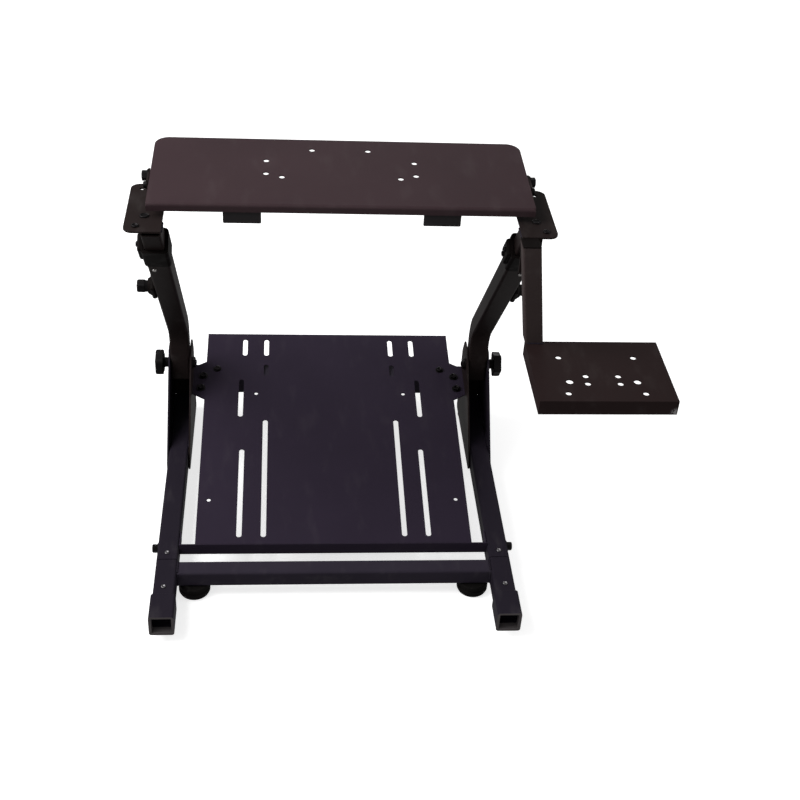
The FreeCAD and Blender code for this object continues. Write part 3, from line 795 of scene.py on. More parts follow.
@dataclass(frozen=True)
class TubeSection:
    """Square steel tube with rounded corners."""

    width: float
    wall: float = 0.002
    corner: float = 0.0045
    groove: float = 0.0014
    spigot: float = 0.030
    slack: float = 0.0004

    def straight(self, work: Workpiece, start: Vector, end: Vector, seam: float = 0.0) -> None:
        """Model a straight open-ended tube, in two lengths on a spigot where it has a seam.

        Args:
            work: Mesh that takes the tube.
            start: Middle of one end.
            end: Middle of the other end.
            seam: Distance from the start to the seam, none if 0.
        """
        along = (end - start).normalized()
        cuts = [start, end]
        if seam:
            cuts[1:1] = [start + along * seam, start + along * (seam + self.groove)]
        ends = []
        for near, far in zip(cuts[::2], cuts[1::2]):
            first = work.rounded_square(self.width, self.corner, facing(along, near))
            ends += [first, work.push(first, far - near)]
        work.hollow(ends, self.wall)
        if seam:
            bore = self.width - 2 * self.wall - self.slack
            middle = cuts[1] + along * self.groove / 2
            work.block((bore, bore, self.spigot), facing(along, middle), self.wall)


@dataclass(frozen=True)
class TubePlug:
    """Plastic plug of an open tube end: a flat lip on a body that sits in the tube."""

    lip: float
    lip_gap: float
    depth: float
    depth_gap: float
    overlap: float
    rounding: float

    def build(self, name: str, body: str, width: float, at: Matrix) -> None:
        """Model the plug in a tube end.

        Args:
            name: Name of the piece.
            body: Body of the frame that it moves with.
            width: Width of the tube.
            at: Middle of the tube's end, with local Z out of it.
        """
        work = Workpiece()
        layers = (
            (width - self.lip_gap, self.lip, self.lip / 2),
            (width - self.depth_gap, self.depth, self.overlap - self.depth / 2),
        )
        for across, tall, rise in layers:
            work.block((across, across, tall), at @ Matrix.Translation(UP * rise), self.rounding)
        work.dress(name, Paints.COLLAR, body)


@dataclass(frozen=True)
class Screw:
    """Sizes of a screw's head and of the washer under it, none if 0."""

    radius: float
    height: float
    head: Head = Head.ROUND
    washer: float = 0.0


@dataclass(frozen=True)
class Nut:
    """Sizes of a nut, its washer and the end of its screw, none if another piece holds the screw."""

    radius: float
    height: float
    washer: float
    stub: float = 0.0


@dataclass
class Fasteners:
    """Screws, nuts, washers and pins of one body, in one mesh."""

    name: str
    finish: Finish
    body: str
    washer_sheet: float = 0.0012
    nut_washer_sheet: float = 0.0014
    washer_rim: float = 0.0003
    recess_width: float = 0.35
    recess_depth: float = 0.45
    nut_rounding: float = 0.16
    thread: float = 0.52
    thread_rim: float = 0.0006
    rim_steps: int = 4
    cap_favour: float = 0.0001
    end_favour: float = 0.001
    work: Workpiece = field(default_factory=Workpiece)

    def screw(self, at: Vector, out: Vector, screw: Screw) -> None:
        """Add a screw head on a face, with its washer.

        Args:
            at: Middle of the seat.
            out: Direction out of the face.
            screw: Sizes of the screw.
        """
        if screw.washer:
            self._bar(at, out, screw.washer, self.washer_sheet, self.washer_rim)
            at = at + out * self.washer_sheet
        sides, rounded = screw.head.value
        top = self._bar(at, out, screw.radius, screw.height, screw.height * rounded, sides)
        self.work.sink(top, screw.radius * self.recess_width, -out * screw.height * self.recess_depth)

    def nut(self, at: Vector, out: Vector, nut: Nut) -> None:
        """Add a nut on its washer, with the end of its screw.

        Args:
            at: Middle of the seat.
            out: Direction out of the face.
            nut: Sizes of the nut.
        """
        self._bar(at, out, nut.washer, self.nut_washer_sheet, self.washer_rim)
        at = at + out * self.nut_washer_sheet
        self._bar(at, out, nut.radius, nut.height, nut.height * self.nut_rounding, Head.HEX.value[0])
        if nut.stub:
            self._bar(at, out, nut.radius * self.thread, nut.height + nut.stub, self.thread_rim)

    def _bar(
        self, at: Vector, out: Vector, radius: float, height: float, rounding: float, sides: int = 32,
    ) -> bmesh.types.BMFace:
        """Add a bar with a rounded outer rim.

        Args:
            at: Middle of its foot.
            out: Direction of its length.
            radius: Radius over its corners.
            height: Its length.
            rounding: Radius of the rim.
            sides: Number of sides.

        Returns:
            The outer end face.
        """
        verts = self.work.cylinder(radius, height, facing(out, at), sides)
        caps = [face for vert in verts for face in vert.link_faces]
        top = self._outermost(caps, out, self.cap_favour)
        strips = self.work.bevel(top.edges, rounding, self.rim_steps)
        near = [face for strip in strips for edge in strip.edges for face in edge.link_faces]
        return self._outermost(near, out, self.end_favour)

    @staticmethod
    def _outermost(faces: Iterable[bmesh.types.BMFace], out: Vector, favour: float) -> bmesh.types.BMFace:
        """Face that lies furthest out.

        Args:
            faces: Faces to choose from.
            out: Direction out.
            favour: Distance by which a face of more than four sides is preferred.

        Returns:
            The chosen face.
        """
        return max(
            faces, key=lambda face: face.calc_center_median().dot(out) + favour * (len(face.verts) > 4),
        )

    def build(self) -> None:
        """Finish the mesh of fasteners."""
        self.work.face_out()
        self.work.dress(self.name, self.finish, self.body)


@dataclass
class BaseFrame:
    """Rails, foot sleeves, crossbars, pads, gussets and their fasteners and welds."""

    layout: Layout
    body: str = "base"
    seam_lead: float = 0.030
    insert_wall: float = 0.0022
    insert_corner: float = 0.003
    insert_depth: float = 0.014
    insert_lead: float = 0.0003
    rim_depth: float = 0.001
    rail_plug: TubePlug = TubePlug(0.0024, 0.0004, 0.016, 0.0048, 0.0007, 0.001)
    gusset_rounding: float = 0.0007
    pad_steps: int = 56
    pad_recess: float = 0.0030
    pad_roll: float = 0.0050
    pad_groove: float = 0.0012
    pad_crown: float = 0.0016
    weld: float = 0.0021
    weld_inset: float = 0.0008
    front_weld_bite: float = 0.0004
    front_weld_margin: float = 0.004
    rear_weld_margin: float = 0.005
    sleeve_weld_margin: float = 0.006
    gusset_stitches: tuple[tuple[float, float], ...] = ((0.03, 0.07), (0.10, 0.14), (0.16, 0.19))
    strip_bolt: Screw = Screw(0.0075, 0.009, Head.HEX, 0.0095)
    strip_bolt_lead: float = 0.010
    strip_bolt_drop: float = 0.013
    rail_screw: Screw = Screw(0.0038, 0.0020)
    rail_screw_lead: float = 0.024
    rail_screw_start: float = 0.044
    rail_screw_shift: float = 0.001
    pivot_nut: Nut = Nut(0.0098, 0.0046, 0.01225)

    def build(self) -> None:
        """Build every piece of the base."""
        self.tubes()
        for side in Side:
            for end in ("front", "rear"):
                self.pad(f"{side.label}_{end}_pad")
        # The inner gussets and the web take the darker arm coat as painted shade, since their faces lie in
        # shade; the outer gussets keep the frame coat.
        plates = {"outer_gusset": Paints.FRAME, "inner_gusset": Paints.ARM, "gusset_web": Paints.ARM}
        for side in Side:
            for plate, finish in plates.items():
                SheetPart(f"{side.label}_{plate}", finish, self.body, self.gusset_rounding).build()
        self.welds()
        self.fasteners()

    def tubes(self) -> None:
        """Rails with plugs, foot sleeves with a pale painted highlight on their front rims, and crossbars
        with painted light in a lighter coat.
        """
        seam_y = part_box("pedal_front_strip")[0].y - self.seam_lead
        for side in Side:
            rail = f"{side.label}_rail"
            low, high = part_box(rail)
            self.tube(rail, ALONG_Y, Paints.FRAME, seam_y - low.y)
            self.sleeve(f"{side.label}_foot_sleeve")
            end = Vector(((low.x + high.x) / 2, high.y, (low.z + high.z) / 2))
            self.rail_plug.build(f"{rail}_plug", self.body, high.x - low.x, facing(ALONG_Y, end))
        for node in ("front_crossbar", "rear_crossbar"):
            # The crossbars take the lighter copy of the frame coat: painted light on their tops.
            self.tube(node, ALONG_X, Paints.CROSSBAR)

    def tube(self, node: str, along: Vector, finish: Finish, seam: float = 0.0) -> bpy.types.Object:
        """Square tube in place of a straight node.

        Args:
            node: Name of the node.
            along: Axis that the tube runs along.
            finish: Finish of the tube.
            seam: Distance from its start to its seam, none if 0.

        Returns:
            The new piece.
        """
        low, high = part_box(node)
        middle = (low + high) / 2
        half = along * ((high - low).dot(along) / 2)
        work = Workpiece()
        TubeSection(high.z - low.z).straight(work, middle - half, middle + half, seam)
        return work.dress(f"{node}_tube", finish, self.body, [node])

    def sleeve(self, node: str) -> None:
        """Foot sleeve with a pale painted highlight on its front rim, and a liner in the same pale colour.

        Args:
            node: Name of the node.
        """
        piece = self.tube(node, ALONG_Y, Paints.FRAME)
        low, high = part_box(node)
        # The front rim faces take the pale coat: a painted highlight where the coated edge catches light.
        piece.data.materials.append(Paints.of(Paints.RIM))
        square_on = 0.9
        for face in piece.data.polygons:
            if abs(face.normal.y) > square_on and face.center.y < low.y + self.rim_depth:
                face.material_index = 1
        sleeve = TubeSection(high.z - low.z)
        insert = TubeSection(sleeve.width - 2 * sleeve.wall, self.insert_wall, self.insert_corner)
        mouth = Vector(((low.x + high.x) / 2, low.y, (low.z + high.z) / 2))
        liner = Workpiece()
        insert.straight(liner, mouth + ALONG_Y * self.insert_lead, mouth + ALONG_Y * self.insert_depth)
        # The liner takes the same pale painted-highlight colour.
        liner.dress(f"{node}_insert", Paints.RIM, self.body)

    def pad(self, node: str) -> None:
        """Round rubber foot with a rolled lower edge and a groove.

        Args:
            node: Name of the node.
        """
        low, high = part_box(node)
        radius = (high.x - low.x) / 2
        tall = high.z - low.z
        waist = radius - self.pad_groove
        profile = [
            (0.0, self.pad_recess), (radius * 0.30, self.pad_recess), (radius * 0.34, 0.0),
            (radius - self.pad_roll, 0.0), (radius - self.pad_crown, 0.0014), (radius, self.pad_roll),
            (radius, tall * 0.55), (waist, tall * 0.58), (waist, tall * 0.64), (radius, tall * 0.67),
            (radius - 0.0004, tall - self.pad_groove), (radius - self.pad_crown, tall), (0.0, tall),
        ]
        work = Workpiece()
        verts = [work.bm.verts.new((reach, 0.0, height)) for reach, height in profile]
        edges = [work.bm.edges.new(pair) for pair in zip(verts, verts[1:])]
        bmesh.ops.spin(
            work.bm, geom=verts + edges, cent=(0, 0, 0), axis=UP, dvec=(0, 0, 0),
            angle=math.tau, steps=self.pad_steps, use_merge=True, use_duplicate=False,
        )
        bmesh.ops.remove_doubles(work.bm, verts=work.bm.verts[:], dist=0.00001)
        work.face_out()
        foot = Vector(((low.x + high.x) / 2, (low.y + high.y) / 2, low.z))
        bmesh.ops.translate(work.bm, verts=work.bm.verts[:], vec=foot)
        work.dress(f"{node}_rubber", Paints.RUBBER, self.body, [node])

    def welds(self) -> None:
        """Weld beads where the tubes and gussets meet."""
        work = Workpiece()
        front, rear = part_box("front_crossbar"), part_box("rear_crossbar")
        for side in Side:
            x = side.outer(front) - side.value * self.weld_inset
            margin, bite = self.front_weld_margin, self.front_weld_bite
            for y in (front[0].y + bite, front[1].y - bite):
                work.seam((x, y, 0), 2, front[0].z + margin, front[1].z - margin, self.weld)
            work.seam((x, 0, front[1].z), 1, front[0].y + margin, front[1].y - margin, self.weld)
            x = side.outer(rear) - side.value * self.weld_inset
            margin = self.rear_weld_margin
            for y in (rear[0].y, rear[1].y):
                work.seam((x, y, 0), 2, rear[0].z + margin, rear[1].z - margin, self.weld)
            low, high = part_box(f"{side.label}_rail")
            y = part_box(f"{side.label}_foot_sleeve")[1].y
            margin = self.sleeve_weld_margin
            for x in (low.x, high.x):
                work.seam((x, y, 0), 2, low.z + margin, high.z - margin, self.weld)
            work.seam((0, y, high.z), 0, low.x + margin, high.x - margin, self.weld)
            outer, inner = (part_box(f"{side.label}_{place}_gusset") for place in ("outer", "inner"))
            for x, start in ((side.inner(outer), outer[0].y), (side.outer(inner), inner[0].y)):
                for near, far in self.gusset_stitches:
                    work.seam((x, 0, high.z), 1, start + near, start + far, self.weld)
        work.dress("base_weld_beads", Paints.FRAME, self.body, angle=60.0)

    def fasteners(self) -> None:
        """Pedal strip bolts and top screws on the rails, and the pivot nuts."""
        bolts = Fasteners("base_black_bolts", Paints.BLACK_STEEL, self.body)
        screws = Fasteners("rail_top_screws", Paints.DULL_STEEL, self.body)
        bolt_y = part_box("pedal_front_strip")[0].y + self.strip_bolt_lead
        pivot = self.layout.pivot
        for side in Side:
            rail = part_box(f"{side.label}_rail")
            top = rail[1].z
            seat = Vector((side.outer(rail), bolt_y, top - self.strip_bolt_drop))
            bolts.screw(seat, side.out, self.strip_bolt)
            x = self.layout.rail_x(side) + side.value * self.rail_screw_shift
            for y in (bolt_y - self.rail_screw_lead, rail[0].y + self.rail_screw_start):
                screws.screw(Vector((x, y, top)), UP, self.rail_screw)
            plate = side.inner(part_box(f"{side.label}_inner_gusset"))
            bolts.nut(Vector((plate, pivot.y, pivot.z)), -side.out, self.pivot_nut)
        bolts.build()
        screws.build()


@dataclass
class PedalDeck:
    """Sloping pedal plate, its front strip and the bolts that hold it."""

    layout: Layout
    body: str = "base"
    tilt: float = math.radians(8.5)
    strip_sheet: float = 0.002
    plate_rounding: float = 0.0005
    strip_rounding: float = 0.0006
    bar_bolt: Screw = Screw(0.0058, 0.0034, Head.ROUND, 0.0075)
    bar_bolt_place: tuple[float, float] = (0.2125, 0.421)
    ear_bolt: Screw = Screw(0.0062, 0.0042, Head.HEX, 0.0085)
    ear_bolt_places: tuple[tuple[float, float], ...] = ((0.241, 0.370), (0.238, 0.402))

    def build(self) -> None:
        """Build the plate, the strip and the bolts."""
        SheetPart("pedal_plate", Paints.PEDAL, self.body, self.plate_rounding).build()
        SheetPart("pedal_front_strip", Paints.PEDAL, self.body, self.strip_rounding).build()
        self.bolts()

    def on_plate(self, across: float, behind: float) -> Vector:
        """Point on top of the plate.

        Args:
            across: Distance from the middle of the stand.
            behind: Distance along the plate from its front edge.

        Returns:
            The point in metres.
        """
        low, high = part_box("pedal_front_strip")
        return Vector((
            self.layout.mid_x + across,
            low.y + self.strip_sheet + behind * math.cos(self.tilt),
            high.z + behind * math.sin(self.tilt),
        ))

    def bolts(self) -> None:
        """Bolts through the plate into the rear crossbar and beside the ears."""
        out = Vector((0, -math.sin(self.tilt), math.cos(self.tilt)))
        heads = Fasteners("pedal_plate_bolts", Paints.BLACK_STEEL, self.body)
        for side in Side:
            across, behind = self.bar_bolt_place
            heads.screw(self.on_plate(side.value * across, behind), out, self.bar_bolt)
            for across, behind in self.ear_bolt_places:
                heads.screw(self.on_plate(side.value * across, behind), out, self.ear_bolt)
        heads.build()


@dataclass
class Uprights:
    """Bent arms with their collars, knob bosses and spring pins."""

    layout: Layout
    body: str = "uprights"
    width: float = 0.035
    wall: float = 0.002
    corner: float = 0.0045
    bend_steps: int = 18
    collar_wall: float = 0.003
    collar_corner: float = 0.006
    collar_length: float = 0.060
    collar_proud: float = 0.006
    bush_wall: float = 0.0021
    bush_corner: float = 0.0035
    bush_drop: float = 0.0006
    lug: Triple = (0.010, 0.028, 0.044)
    lug_rounding: float = 0.0035
    lug_drop: float = 0.026
    lug_rise: float = 0.001
    lug_screw: Screw = Screw(0.0042, 0.0030)
    lug_screw_places: tuple[float, float] = (0.422, 0.442)
    boss: Triple = (0.008, 0.033, 0.050)
    boss_rounding: float = 0.003
    boss_shift: float = 0.004
    spout_foot: float = 0.0163
    spout_top: float = 0.0122
    spout_height: float = 0.0065
    spout_start: float = 0.0075
    spout_rounding: float = 0.0010
    spout_sides: int = 40
    spout_crease: float = 0.5
    spring_pin: Screw = Screw(0.0036, 0.0030)
    spring_pin_place: float = 0.376
    spring_pin_shift: float = 0.0075

    def build(self) -> None:
        """Build both arms and what is fixed to them."""
        for side in Side:
            self.arm(side)
            self.collar(side)
            self.knob_boss(side)
        self.pins()

    def arm(self, side: Side) -> None:
        """Bend a square tube to the arm's line.

        Args:
            side: Side of the stand.
        """
        lay = self.layout
        low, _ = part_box(f"{side.label}_arm")
        foot = Vector((lay.rail_x(side), lay.pivot.y, low.z))
        tangent = lay.arm_bend * math.tan(lay.lean / 2)
        bend_start = lay.arm_knee - tangent
        work = Workpiece()
        first = work.rounded_square(self.width, self.corner, Matrix.Translation(foot))
        bent = work.push(first, Vector((0, 0, bend_start - foot.z)))
        spun = bmesh.ops.spin(
            work.bm, geom=[bent, *bent.edges, *bent.verts], axis=ALONG_X, angle=lay.lean,
            cent=(foot.x, foot.y - lay.arm_bend, bend_start), dvec=(0, 0, 0),
            steps=self.bend_steps, use_duplicate=False,
        )
        end = next(item for item in spun["geom_last"] if isinstance(item, bmesh.types.BMFace))
        last = work.push(end, lay.slant * (lay.arm_reach - tangent))
        work.hollow([first, last], self.wall)
        work.dress(f"{side.label}_arm_tube", Paints.ARM, self.body, [f"{side.label}_arm"])

    @property
    def lug_middle(self) -> float:
        """X of the clamping lugs' middle from the arm's line; both collars have them on the left."""
        return -(self.width / 2 + self.collar_wall + self.lug_rise)

    def collar(self, side: Side) -> None:
        """Plastic collar round the arm's top, with a clamping lug and an inner bush.

        Args:
            side: Side of the stand.
        """
        lay = self.layout
        top = lay.arm_reach + self.collar_proud
        shell = Workpiece()
        section = TubeSection(self.width + 2 * self.collar_wall, self.collar_wall, self.collar_corner)
        section.straight(shell, lay.on_arm(side, top - self.collar_length), lay.on_arm(side, top))
        middle = lay.on_arm(side, top - self.lug_drop, across=self.lug_middle)
        shell.block(self.lug, facing(lay.slant, middle), self.lug_rounding)
        shell.dress(
            f"{side.label}_collar_shell", Paints.COLLAR, self.body, [f"{side.label}_arm_collar"],
        )
        bush = Workpiece()
        ring = TubeSection(self.width, self.bush_wall, self.bush_corner)
        ring.straight(bush, lay.on_arm(side, lay.arm_reach), lay.on_arm(side, top - self.bush_drop))
        bush.dress(f"{side.label}_collar_bush", Paints.COLLAR, self.body)

    def knob_boss(self, side: Side) -> None:
        """Block with a round spout on the arm's outer face that the height knob screws into.

        Args:
            side: Side of the stand.
        """
        slant = self.layout.slant
        low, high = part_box(f"{side.label}_height_knob")
        face = self.layout.rail_x(side) + side.value * self.width / 2
        seat = Vector((face, (low.y + high.y) / 2, (low.z + high.z) / 2))
        work = Workpiece()
        middle = seat + side.out * (self.boss[0] / 2) + slant * self.boss_shift
        work.block(self.boss, facing(slant, middle), self.boss_rounding)
        spout = work.cylinder(
            self.spout_foot, self.spout_height, facing(side.out, seat + side.out * self.spout_start),
            self.spout_sides, self.spout_top,
        )
        rims = [edge for edge in edges_of(spout) if edge.calc_face_angle(0) > self.spout_crease]
        work.bevel(rims, self.spout_rounding)
        work.dress(f"{side.label}_knob_boss", Paints.COLLAR, self.body)

    def pins(self) -> None:
        """Bright spring pins on the front faces and black screws on the collars' lugs."""
        lay = self.layout
        bright = Fasteners("arm_spring_pins", Paints.BRIGHT_STEEL, self.body)
        black = Fasteners("arm_collar_screws", Paints.BLACK_STEEL, self.body)
        lug_face = self.lug_middle - self.lug[0] / 2
        for side in Side:
            shift = side.value * self.spring_pin_shift
            place = lay.on_arm(side, self.spring_pin_place, self.width / 2, shift)
            bright.screw(place, lay.square, self.spring_pin)
            for distance in self.lug_screw_places:
                black.screw(lay.on_arm(side, distance, across=lug_face), -ALONG_X, self.lug_screw)
        bright.build()
        black.build()


@dataclass
class HeadFrame:
    """Telescoping posts, head brackets, and the shifter's hanger, post and plate."""

    layout: Layout
    body: str = "head"
    wall: float = 0.002
    post_width: float = 0.030
    post_corner: float = 0.004
    post_foot: float = 0.100
    shifter_width: float = 0.028
    shifter_corner: float = 0.0035
    shifter_spare: float = 0.03
    shifter_plug: TubePlug = TubePlug(0.0022, 0.0006, 0.012, 0.0050, 0.0005, 0.0009)
    bracket_rounding: float = 0.0006
    plate_rounding: float = 0.0009
    weld: float = 0.0018
    post_weld: tuple[float, float] = (0.004, 0.030)
    post_weld_drop: float = 0.001
    plate_weld: tuple[float, float] = (0.024, 0.002)
    cheek_stand: float = 0.004
    tilt_bolt: Screw = Screw(0.0080, 0.0085, Head.HEX, 0.0100)
    cheek_screw: Screw = Screw(0.0055, 0.0045, Head.ROUND, 0.0070)
    cheek_screw_shift: Triple = (0.0, -0.024, -0.003)
    wing_screw: Screw = Screw(0.0066, 0.0022)
    wing_screw_place: tuple[float, float] = (0.012, 0.046)
    rim_screw: Screw = Screw(0.0052, 0.0026)
    rim_screw_place: tuple[float, float] = (0.017, 0.016)
    hanger_nut: Nut = Nut(0.0058, 0.0045, 0.00696, 0.003)
    hanger_drops: tuple[float, float] = (0.016, 0.040)

    def build(self) -> None:
        """Build every piece of the head."""
        for side in Side:
            self.post(side)
            node = f"{side.label}_head_bracket"
            SheetPart(node, Paints.ARM, self.body, self.bracket_rounding).build()
        self.shifter_post()
        SheetPart("shifter_hanger", Paints.ARM, self.body, self.bracket_rounding).build()
        SheetPart("shifter_plate", Paints.SHIFTER, self.body, self.plate_rounding).build()
        self.welds()
        self.fasteners()

    def post(self, side: Side) -> None:
        """Slanted post cut level under its wing.

        Args:
            side: Side of the stand.
        """
        lay = self.layout
        node = f"{side.label}_post"
        low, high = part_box(node)
        top = (lay.wing_height - lay.arm_knee) / lay.slant.z + self.post_width
        start, end = lay.on_arm(side, self.post_foot), lay.on_arm(side, top)
        work = Workpiece()
        first = work.rounded_square(self.post_width, self.post_corner, facing(end - start, start))
        work.push(first, end - start)
        work.slice(high, UP)
        work.slice(low, -ALONG_Y)
        end_on = 0.99
        foot = [face for face in work.bm.faces if abs(face.normal.dot(lay.slant)) > end_on]
        work.hollow(foot, self.wall)
        work.dress(f"{node}_tube", Paints.ARM, self.body, [node])

    def shifter_post(self) -> None:
        """Splayed square post of the shifter, cut level at both ends, with a plug on top."""
        low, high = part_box("shifter_post")
        splay = math.atan2(high.x - low.x - self.shifter_width, high.z - low.z)
        up = Vector((-math.sin(splay), 0, math.cos(splay)))
        foot_x = high.x - self.shifter_width / 2 / math.cos(splay)
        foot = Vector((foot_x, (low.y + high.y) / 2, low.z))
        top = foot + up * ((high.z - low.z) / math.cos(splay))
        start, end = foot - up * self.shifter_spare, top + up * self.shifter_spare
        work = Workpiece()
        first = work.rounded_square(self.shifter_width, self.shifter_corner, facing(up, start))
        work.push(first, end - start)
        work.slice(high, UP)
        work.slice(low, -UP)
        work.hollow([], self.wall)
        # The post takes the lighter copy of the shifter coat: painted light on its front face.
        work.dress("shifter_post_tube", Paints.SHIFTER_POST, self.body, ["shifter_post"])
        plug_at = Matrix.Translation(top)
        self.shifter_plug.build("shifter_post_plug", self.body, self.shifter_width, plug_at)

    def welds(self) -> None:
        """Weld beads under the wings and round the shifter post."""
        work = Workpiece()
        low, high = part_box("shifter_post")
        plate_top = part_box("shifter_plate")[1].z
        start, stop = self.plate_weld
        for y in (low.y, high.y):
            work.seam((0, y, plate_top), 0, high.x - start, high.x - stop, self.weld)
        start, stop = self.post_weld
        for side in Side:
            low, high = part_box(f"{side.label}_post")
            for x in (low.x, high.x):
                line = (x, 0, high.z - self.post_weld_drop)
                work.seam(line, 1, low.y + start, low.y + stop, self.weld)
        work.dress("head_weld_beads", Paints.FRAME, self.body, angle=60.0)

    def fasteners(self) -> None:
        """Tilt bolts and screws on the cheeks, wing screws and hanger nuts."""
        lay = self.layout
        bolts = Fasteners("head_black_bolts", Paints.BLACK_STEEL, self.body)
        pivot = Vector(lay.joint("deck_tilt")["pos_m"])
        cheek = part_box("wheel_plate")[1].x - lay.mid_x + self.cheek_stand
        wing_top = lay.wing_height + lay.wing_sheet
        for side in Side:
            pin = Vector((lay.mid_x + side.value * cheek, pivot.y, pivot.z))
            bolts.screw(pin, side.out, self.tilt_bolt)
            bolts.screw(pin + Vector(self.cheek_screw_shift), side.out, self.cheek_screw)
            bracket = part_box(f"{side.label}_head_bracket")
            across, behind = self.wing_screw_place
            x = lay.rail_x(side) + side.value * across
            bolts.screw(Vector((x, bracket[0].y + behind, wing_top)), UP, self.wing_screw)
            across, behind = self.rim_screw_place
            x = side.outer(bracket) - side.value * across
            bolts.screw(Vector((x, bracket[0].y + behind, wing_top)), UP, self.rim_screw)
        low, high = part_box("shifter_hanger")
        for drop in self.hanger_drops:
            seat = Vector(((low.x + high.x) / 2, high.y, high.z - drop))
            bolts.nut(seat, ALONG_Y, self.hanger_nut)
        bolts.build()


@dataclass
class WheelDeck:
    """Tilting wheel plate with its front tabs."""

    layout: Layout
    body: str = "wheel_deck"
    lip_bend: float = 0.005
    plate_rounding: float = 0.0008
    tab_rounding: float = 0.0005

    def build(self) -> None:
        """Build the plate and the tabs."""
        SheetPart("wheel_plate", Paints.DECK, self.body, self.plate_rounding, self.lip_bend).build()
        for side in Side:
            SheetPart(f"{side.label}_front_tab", Paints.TAB, self.body, self.tab_rounding).build()


@dataclass(frozen=True)
class KnobShape:
    """Sizes of a lobed knob, its neck and its screw."""

    radius: float
    thick: float
    neck: float
    neck_length: float
    stem: float


@dataclass
class Knobs:
    """Star knobs on the fold pivots and lobed knobs on the height screws."""

    layout: Layout
    fold: KnobShape = KnobShape(0.024, 0.015, 0.0095, 0.0088, 0.005)
    height: KnobShape = KnobShape(0.011, 0.014, 0.0099, 0.0038, 0.004)
    lobes: int = 5
    blank: float = 1.12
    valley: float = 0.70
    lobe_rounding: float = 46.0
    lobe_steps: int = 6
    back_rounding: float = 0.12
    front_rounding: float = 0.22
    front_steps: int = 4
    dish: float = 0.34
    dish_depth: float = 0.0008
    well_step: float = 0.0008
    well_depth: float = 0.0010
    neck_taper: float = 0.94
    neck_sides: int = 36
    stem_sides: int = 24

    def build(self) -> None:
        """Build the four knobs, each on its own body."""
        for side in Side:
            self.knob(f"{side.label}_fold_knob", side, self.fold)
            self.knob(f"{side.label}_height_knob", side, self.height)

    def knob(self, node: str, side: Side, shape: KnobShape) -> None:
        """Lobed knob with a dished face, a neck and its screw.

        Args:
            node: Node of the frame, which is also the body.
            side: Side of the stand.
            shape: Sizes of the knob.
        """
        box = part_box(node)
        out, thick = side.out, shape.thick
        centre = Vector(self.layout.joint(f"{node}_turn")["pos_m"])
        centre.x = side.outer(box) - side.value * thick
        work = Workpiece()
        head = self.star(work, centre, facing(out, centre, UP), shape.radius)
        face = work.push(head, out * thick)
        work.bevel(list(head.edges), thick * self.back_rounding)
        work.bevel(list(face.edges), thick * self.front_rounding, self.front_steps)
        crown = max(work.bm.faces, key=lambda item: item.calc_center_median().dot(out) + item.calc_area())
        work.sink(crown, shape.radius * self.dish, -out * self.dish_depth)
        work.sink(crown, self.well_step, -out * self.well_depth)
        back = facing(-out, centre)
        neck_end = shape.neck * self.neck_taper
        work.cylinder(shape.neck, shape.neck_length, back, self.neck_sides, neck_end)
        work.cylinder(shape.stem, abs(centre.x - side.inner(box)), back, self.stem_sides)
        work.face_out()
        work.dress(f"{node}_moulding", Paints.KNOB, node, [node], angle=38.0)

    def star(self, work: Workpiece, centre: Vector, seat: Matrix, radius: float) -> bmesh.types.BMFace:
        """Star face with rounded lobes and valleys, drawn on a larger blank and scaled to size.

        Args:
            work: Mesh that takes the face.
            centre: Middle of the face.
            seat: Place and turn of the face.
            radius: Radius over the lobes.

        Returns:
            The face.
        """
        points = bmesh.ops.create_circle(
            work.bm, cap_ends=True, segments=2 * self.lobes, radius=radius * self.blank, matrix=seat,
        )["verts"]
        for point in points[1::2]:
            point.co = centre.lerp(point.co, self.valley)
        work.round_corners(points, self.lobe_rounding, self.lobe_steps, "PERCENT")
        star = max(work.bm.faces, key=lambda face: face.calc_area())
        reach = max((vert.co - centre).length for vert in star.verts)
        bmesh.ops.scale(
            work.bm, verts=list(star.verts), space=Matrix.Translation(-centre),
            vec=Vector((1, 1, 1)) * (radius / reach),
        )
        return star


@dataclass(frozen=True)
class SoftBox:
    """Square studio lamp: where it hangs, where it points, its edge in metres and its watts."""

    name: str
    at: Triple
    aim: Triple
    size: float
    power: float

    def build(self) -> None:
        """Hang the lamp."""
        lamp = bpy.data.lights.new(self.name, "AREA")
        lamp.size = self.size
        lamp.energy = self.power
        holder = bpy.data.objects.new(self.name, lamp)
        holder.matrix_world = facing(Vector(self.at) - Vector(self.aim), Vector(self.at))
        bpy.context.scene.collection.objects.link(holder)


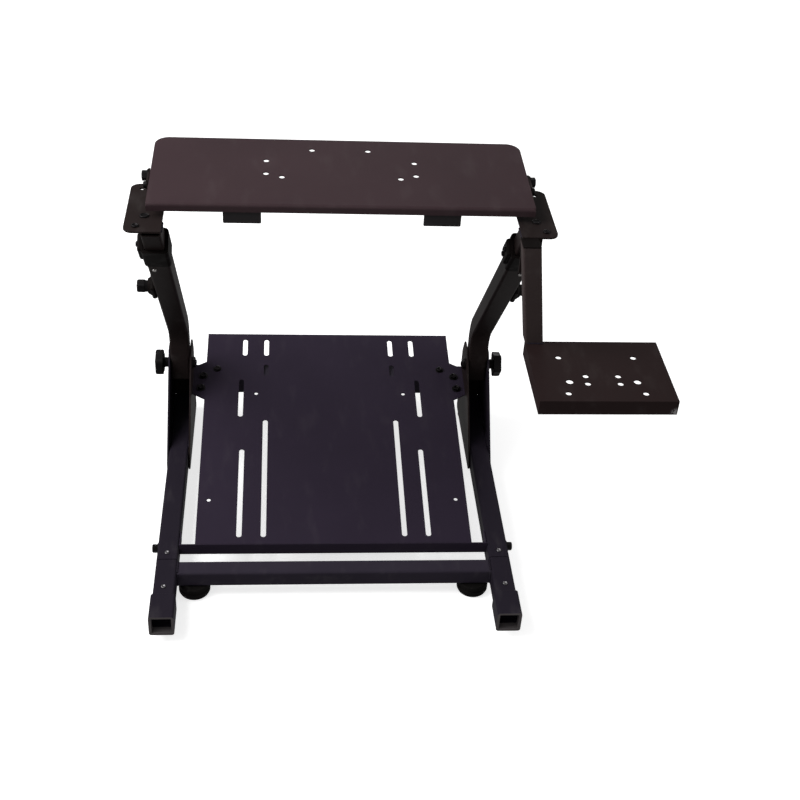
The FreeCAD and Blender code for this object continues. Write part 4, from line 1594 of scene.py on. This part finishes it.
@dataclass
class Studio:
    """Pale floor, soft lights and the camera."""

    layout: Layout
    eye: Triple = (-0.0843, -1.4272, 1.5543)
    yaw: float = math.radians(6.381)
    pitch: float = math.radians(36.657)
    roll: float = math.radians(4.020)
    lens: float = 57.84
    sensor: float = 36.0
    floor_reach: float = 60.0
    sky: float = 0.28
    lamps: tuple[SoftBox, ...] = (
        SoftBox("top_box", (-1.6, -0.2, 2.0), (-0.2, 0.0, 0.5), 1.6, 52.0),
        SoftBox("front_box", (-1.8, -2.2, 2.4), (0.0, 0.0, 0.3), 1.8, 8.0),
        SoftBox("side_box", (2.6, -0.3, 1.0), (0.0, 0.0, 0.3), 1.4, 18.0),
        SoftBox("back_box", (0.2, 3.0, 0.6), (0.0, 0.0, 0.3), 1.0, 16.0),
    )

    def build(self) -> None:
        """Set up the floor, the lights and the camera."""
        self.floor()
        self.lights()
        self.camera()

    def floor(self) -> None:
        """Plain pale floor under the stand, whose glow stays off the stand."""
        mesh = bpy.data.meshes.new("studio_floor")
        bm = bmesh.new()
        bmesh.ops.create_grid(bm, x_segments=1, y_segments=1, size=self.floor_reach)
        bm.to_mesh(mesh)
        bm.free()
        floor = bpy.data.objects.new("studio_floor", mesh)
        mesh.materials.append(Paints.of(Paints.FLOOR))
        bpy.context.scene.collection.objects.link(floor)
        floor.visible_diffuse = False
        floor.visible_glossy = False

    def lights(self) -> None:
        """Soft boxes round the stand, and an even sky."""
        world = bpy.data.worlds.new("studio_sky")
        world.use_nodes = True
        sky = world.node_tree.nodes["Background"]
        sky.inputs["Color"].default_value = opaque((1.0, 1.0, 1.0))
        sky.inputs["Strength"].default_value = self.sky
        bpy.context.scene.world = world
        for lamp in self.lamps:
            lamp.build()

    def camera(self) -> None:
        """Camera at the viewing place, with its turn and roll."""
        level = Vector((math.cos(self.yaw), -math.sin(self.yaw), 0))
        forward = Vector((math.sin(self.yaw), math.cos(self.yaw), 0))
        ahead = forward * math.cos(self.pitch) - UP * math.sin(self.pitch)
        above = level.cross(ahead)
        right = level * math.cos(self.roll) + above * math.sin(self.roll)
        up = above * math.cos(self.roll) - level * math.sin(self.roll)
        data = bpy.data.cameras.new("studio_camera")
        data.sensor_width = self.sensor
        data.sensor_fit = "HORIZONTAL"
        data.lens = self.lens
        camera = bpy.data.objects.new("studio_camera", data)
        turn = Matrix((right, up, -ahead)).transposed().to_4x4()
        place = Vector((self.layout.mid_x, self.layout.front_y, 0)) + Vector(self.eye)
        camera.matrix_world = Matrix.Translation(place) @ turn
        bpy.context.scene.collection.objects.link(camera)
        bpy.context.scene.camera = camera


def main() -> None:
    """Build the stand's pieces and the studio."""
    layout = Layout()
    for assembly in (BaseFrame, PedalDeck, Uprights, HeadFrame, WheelDeck, Knobs, Studio):
        log.info("building %s", assembly.__name__)
        assembly(layout).build()
    bpy.context.scene.view_settings.view_transform = "Standard"


if __name__ == "__main__":
    main()
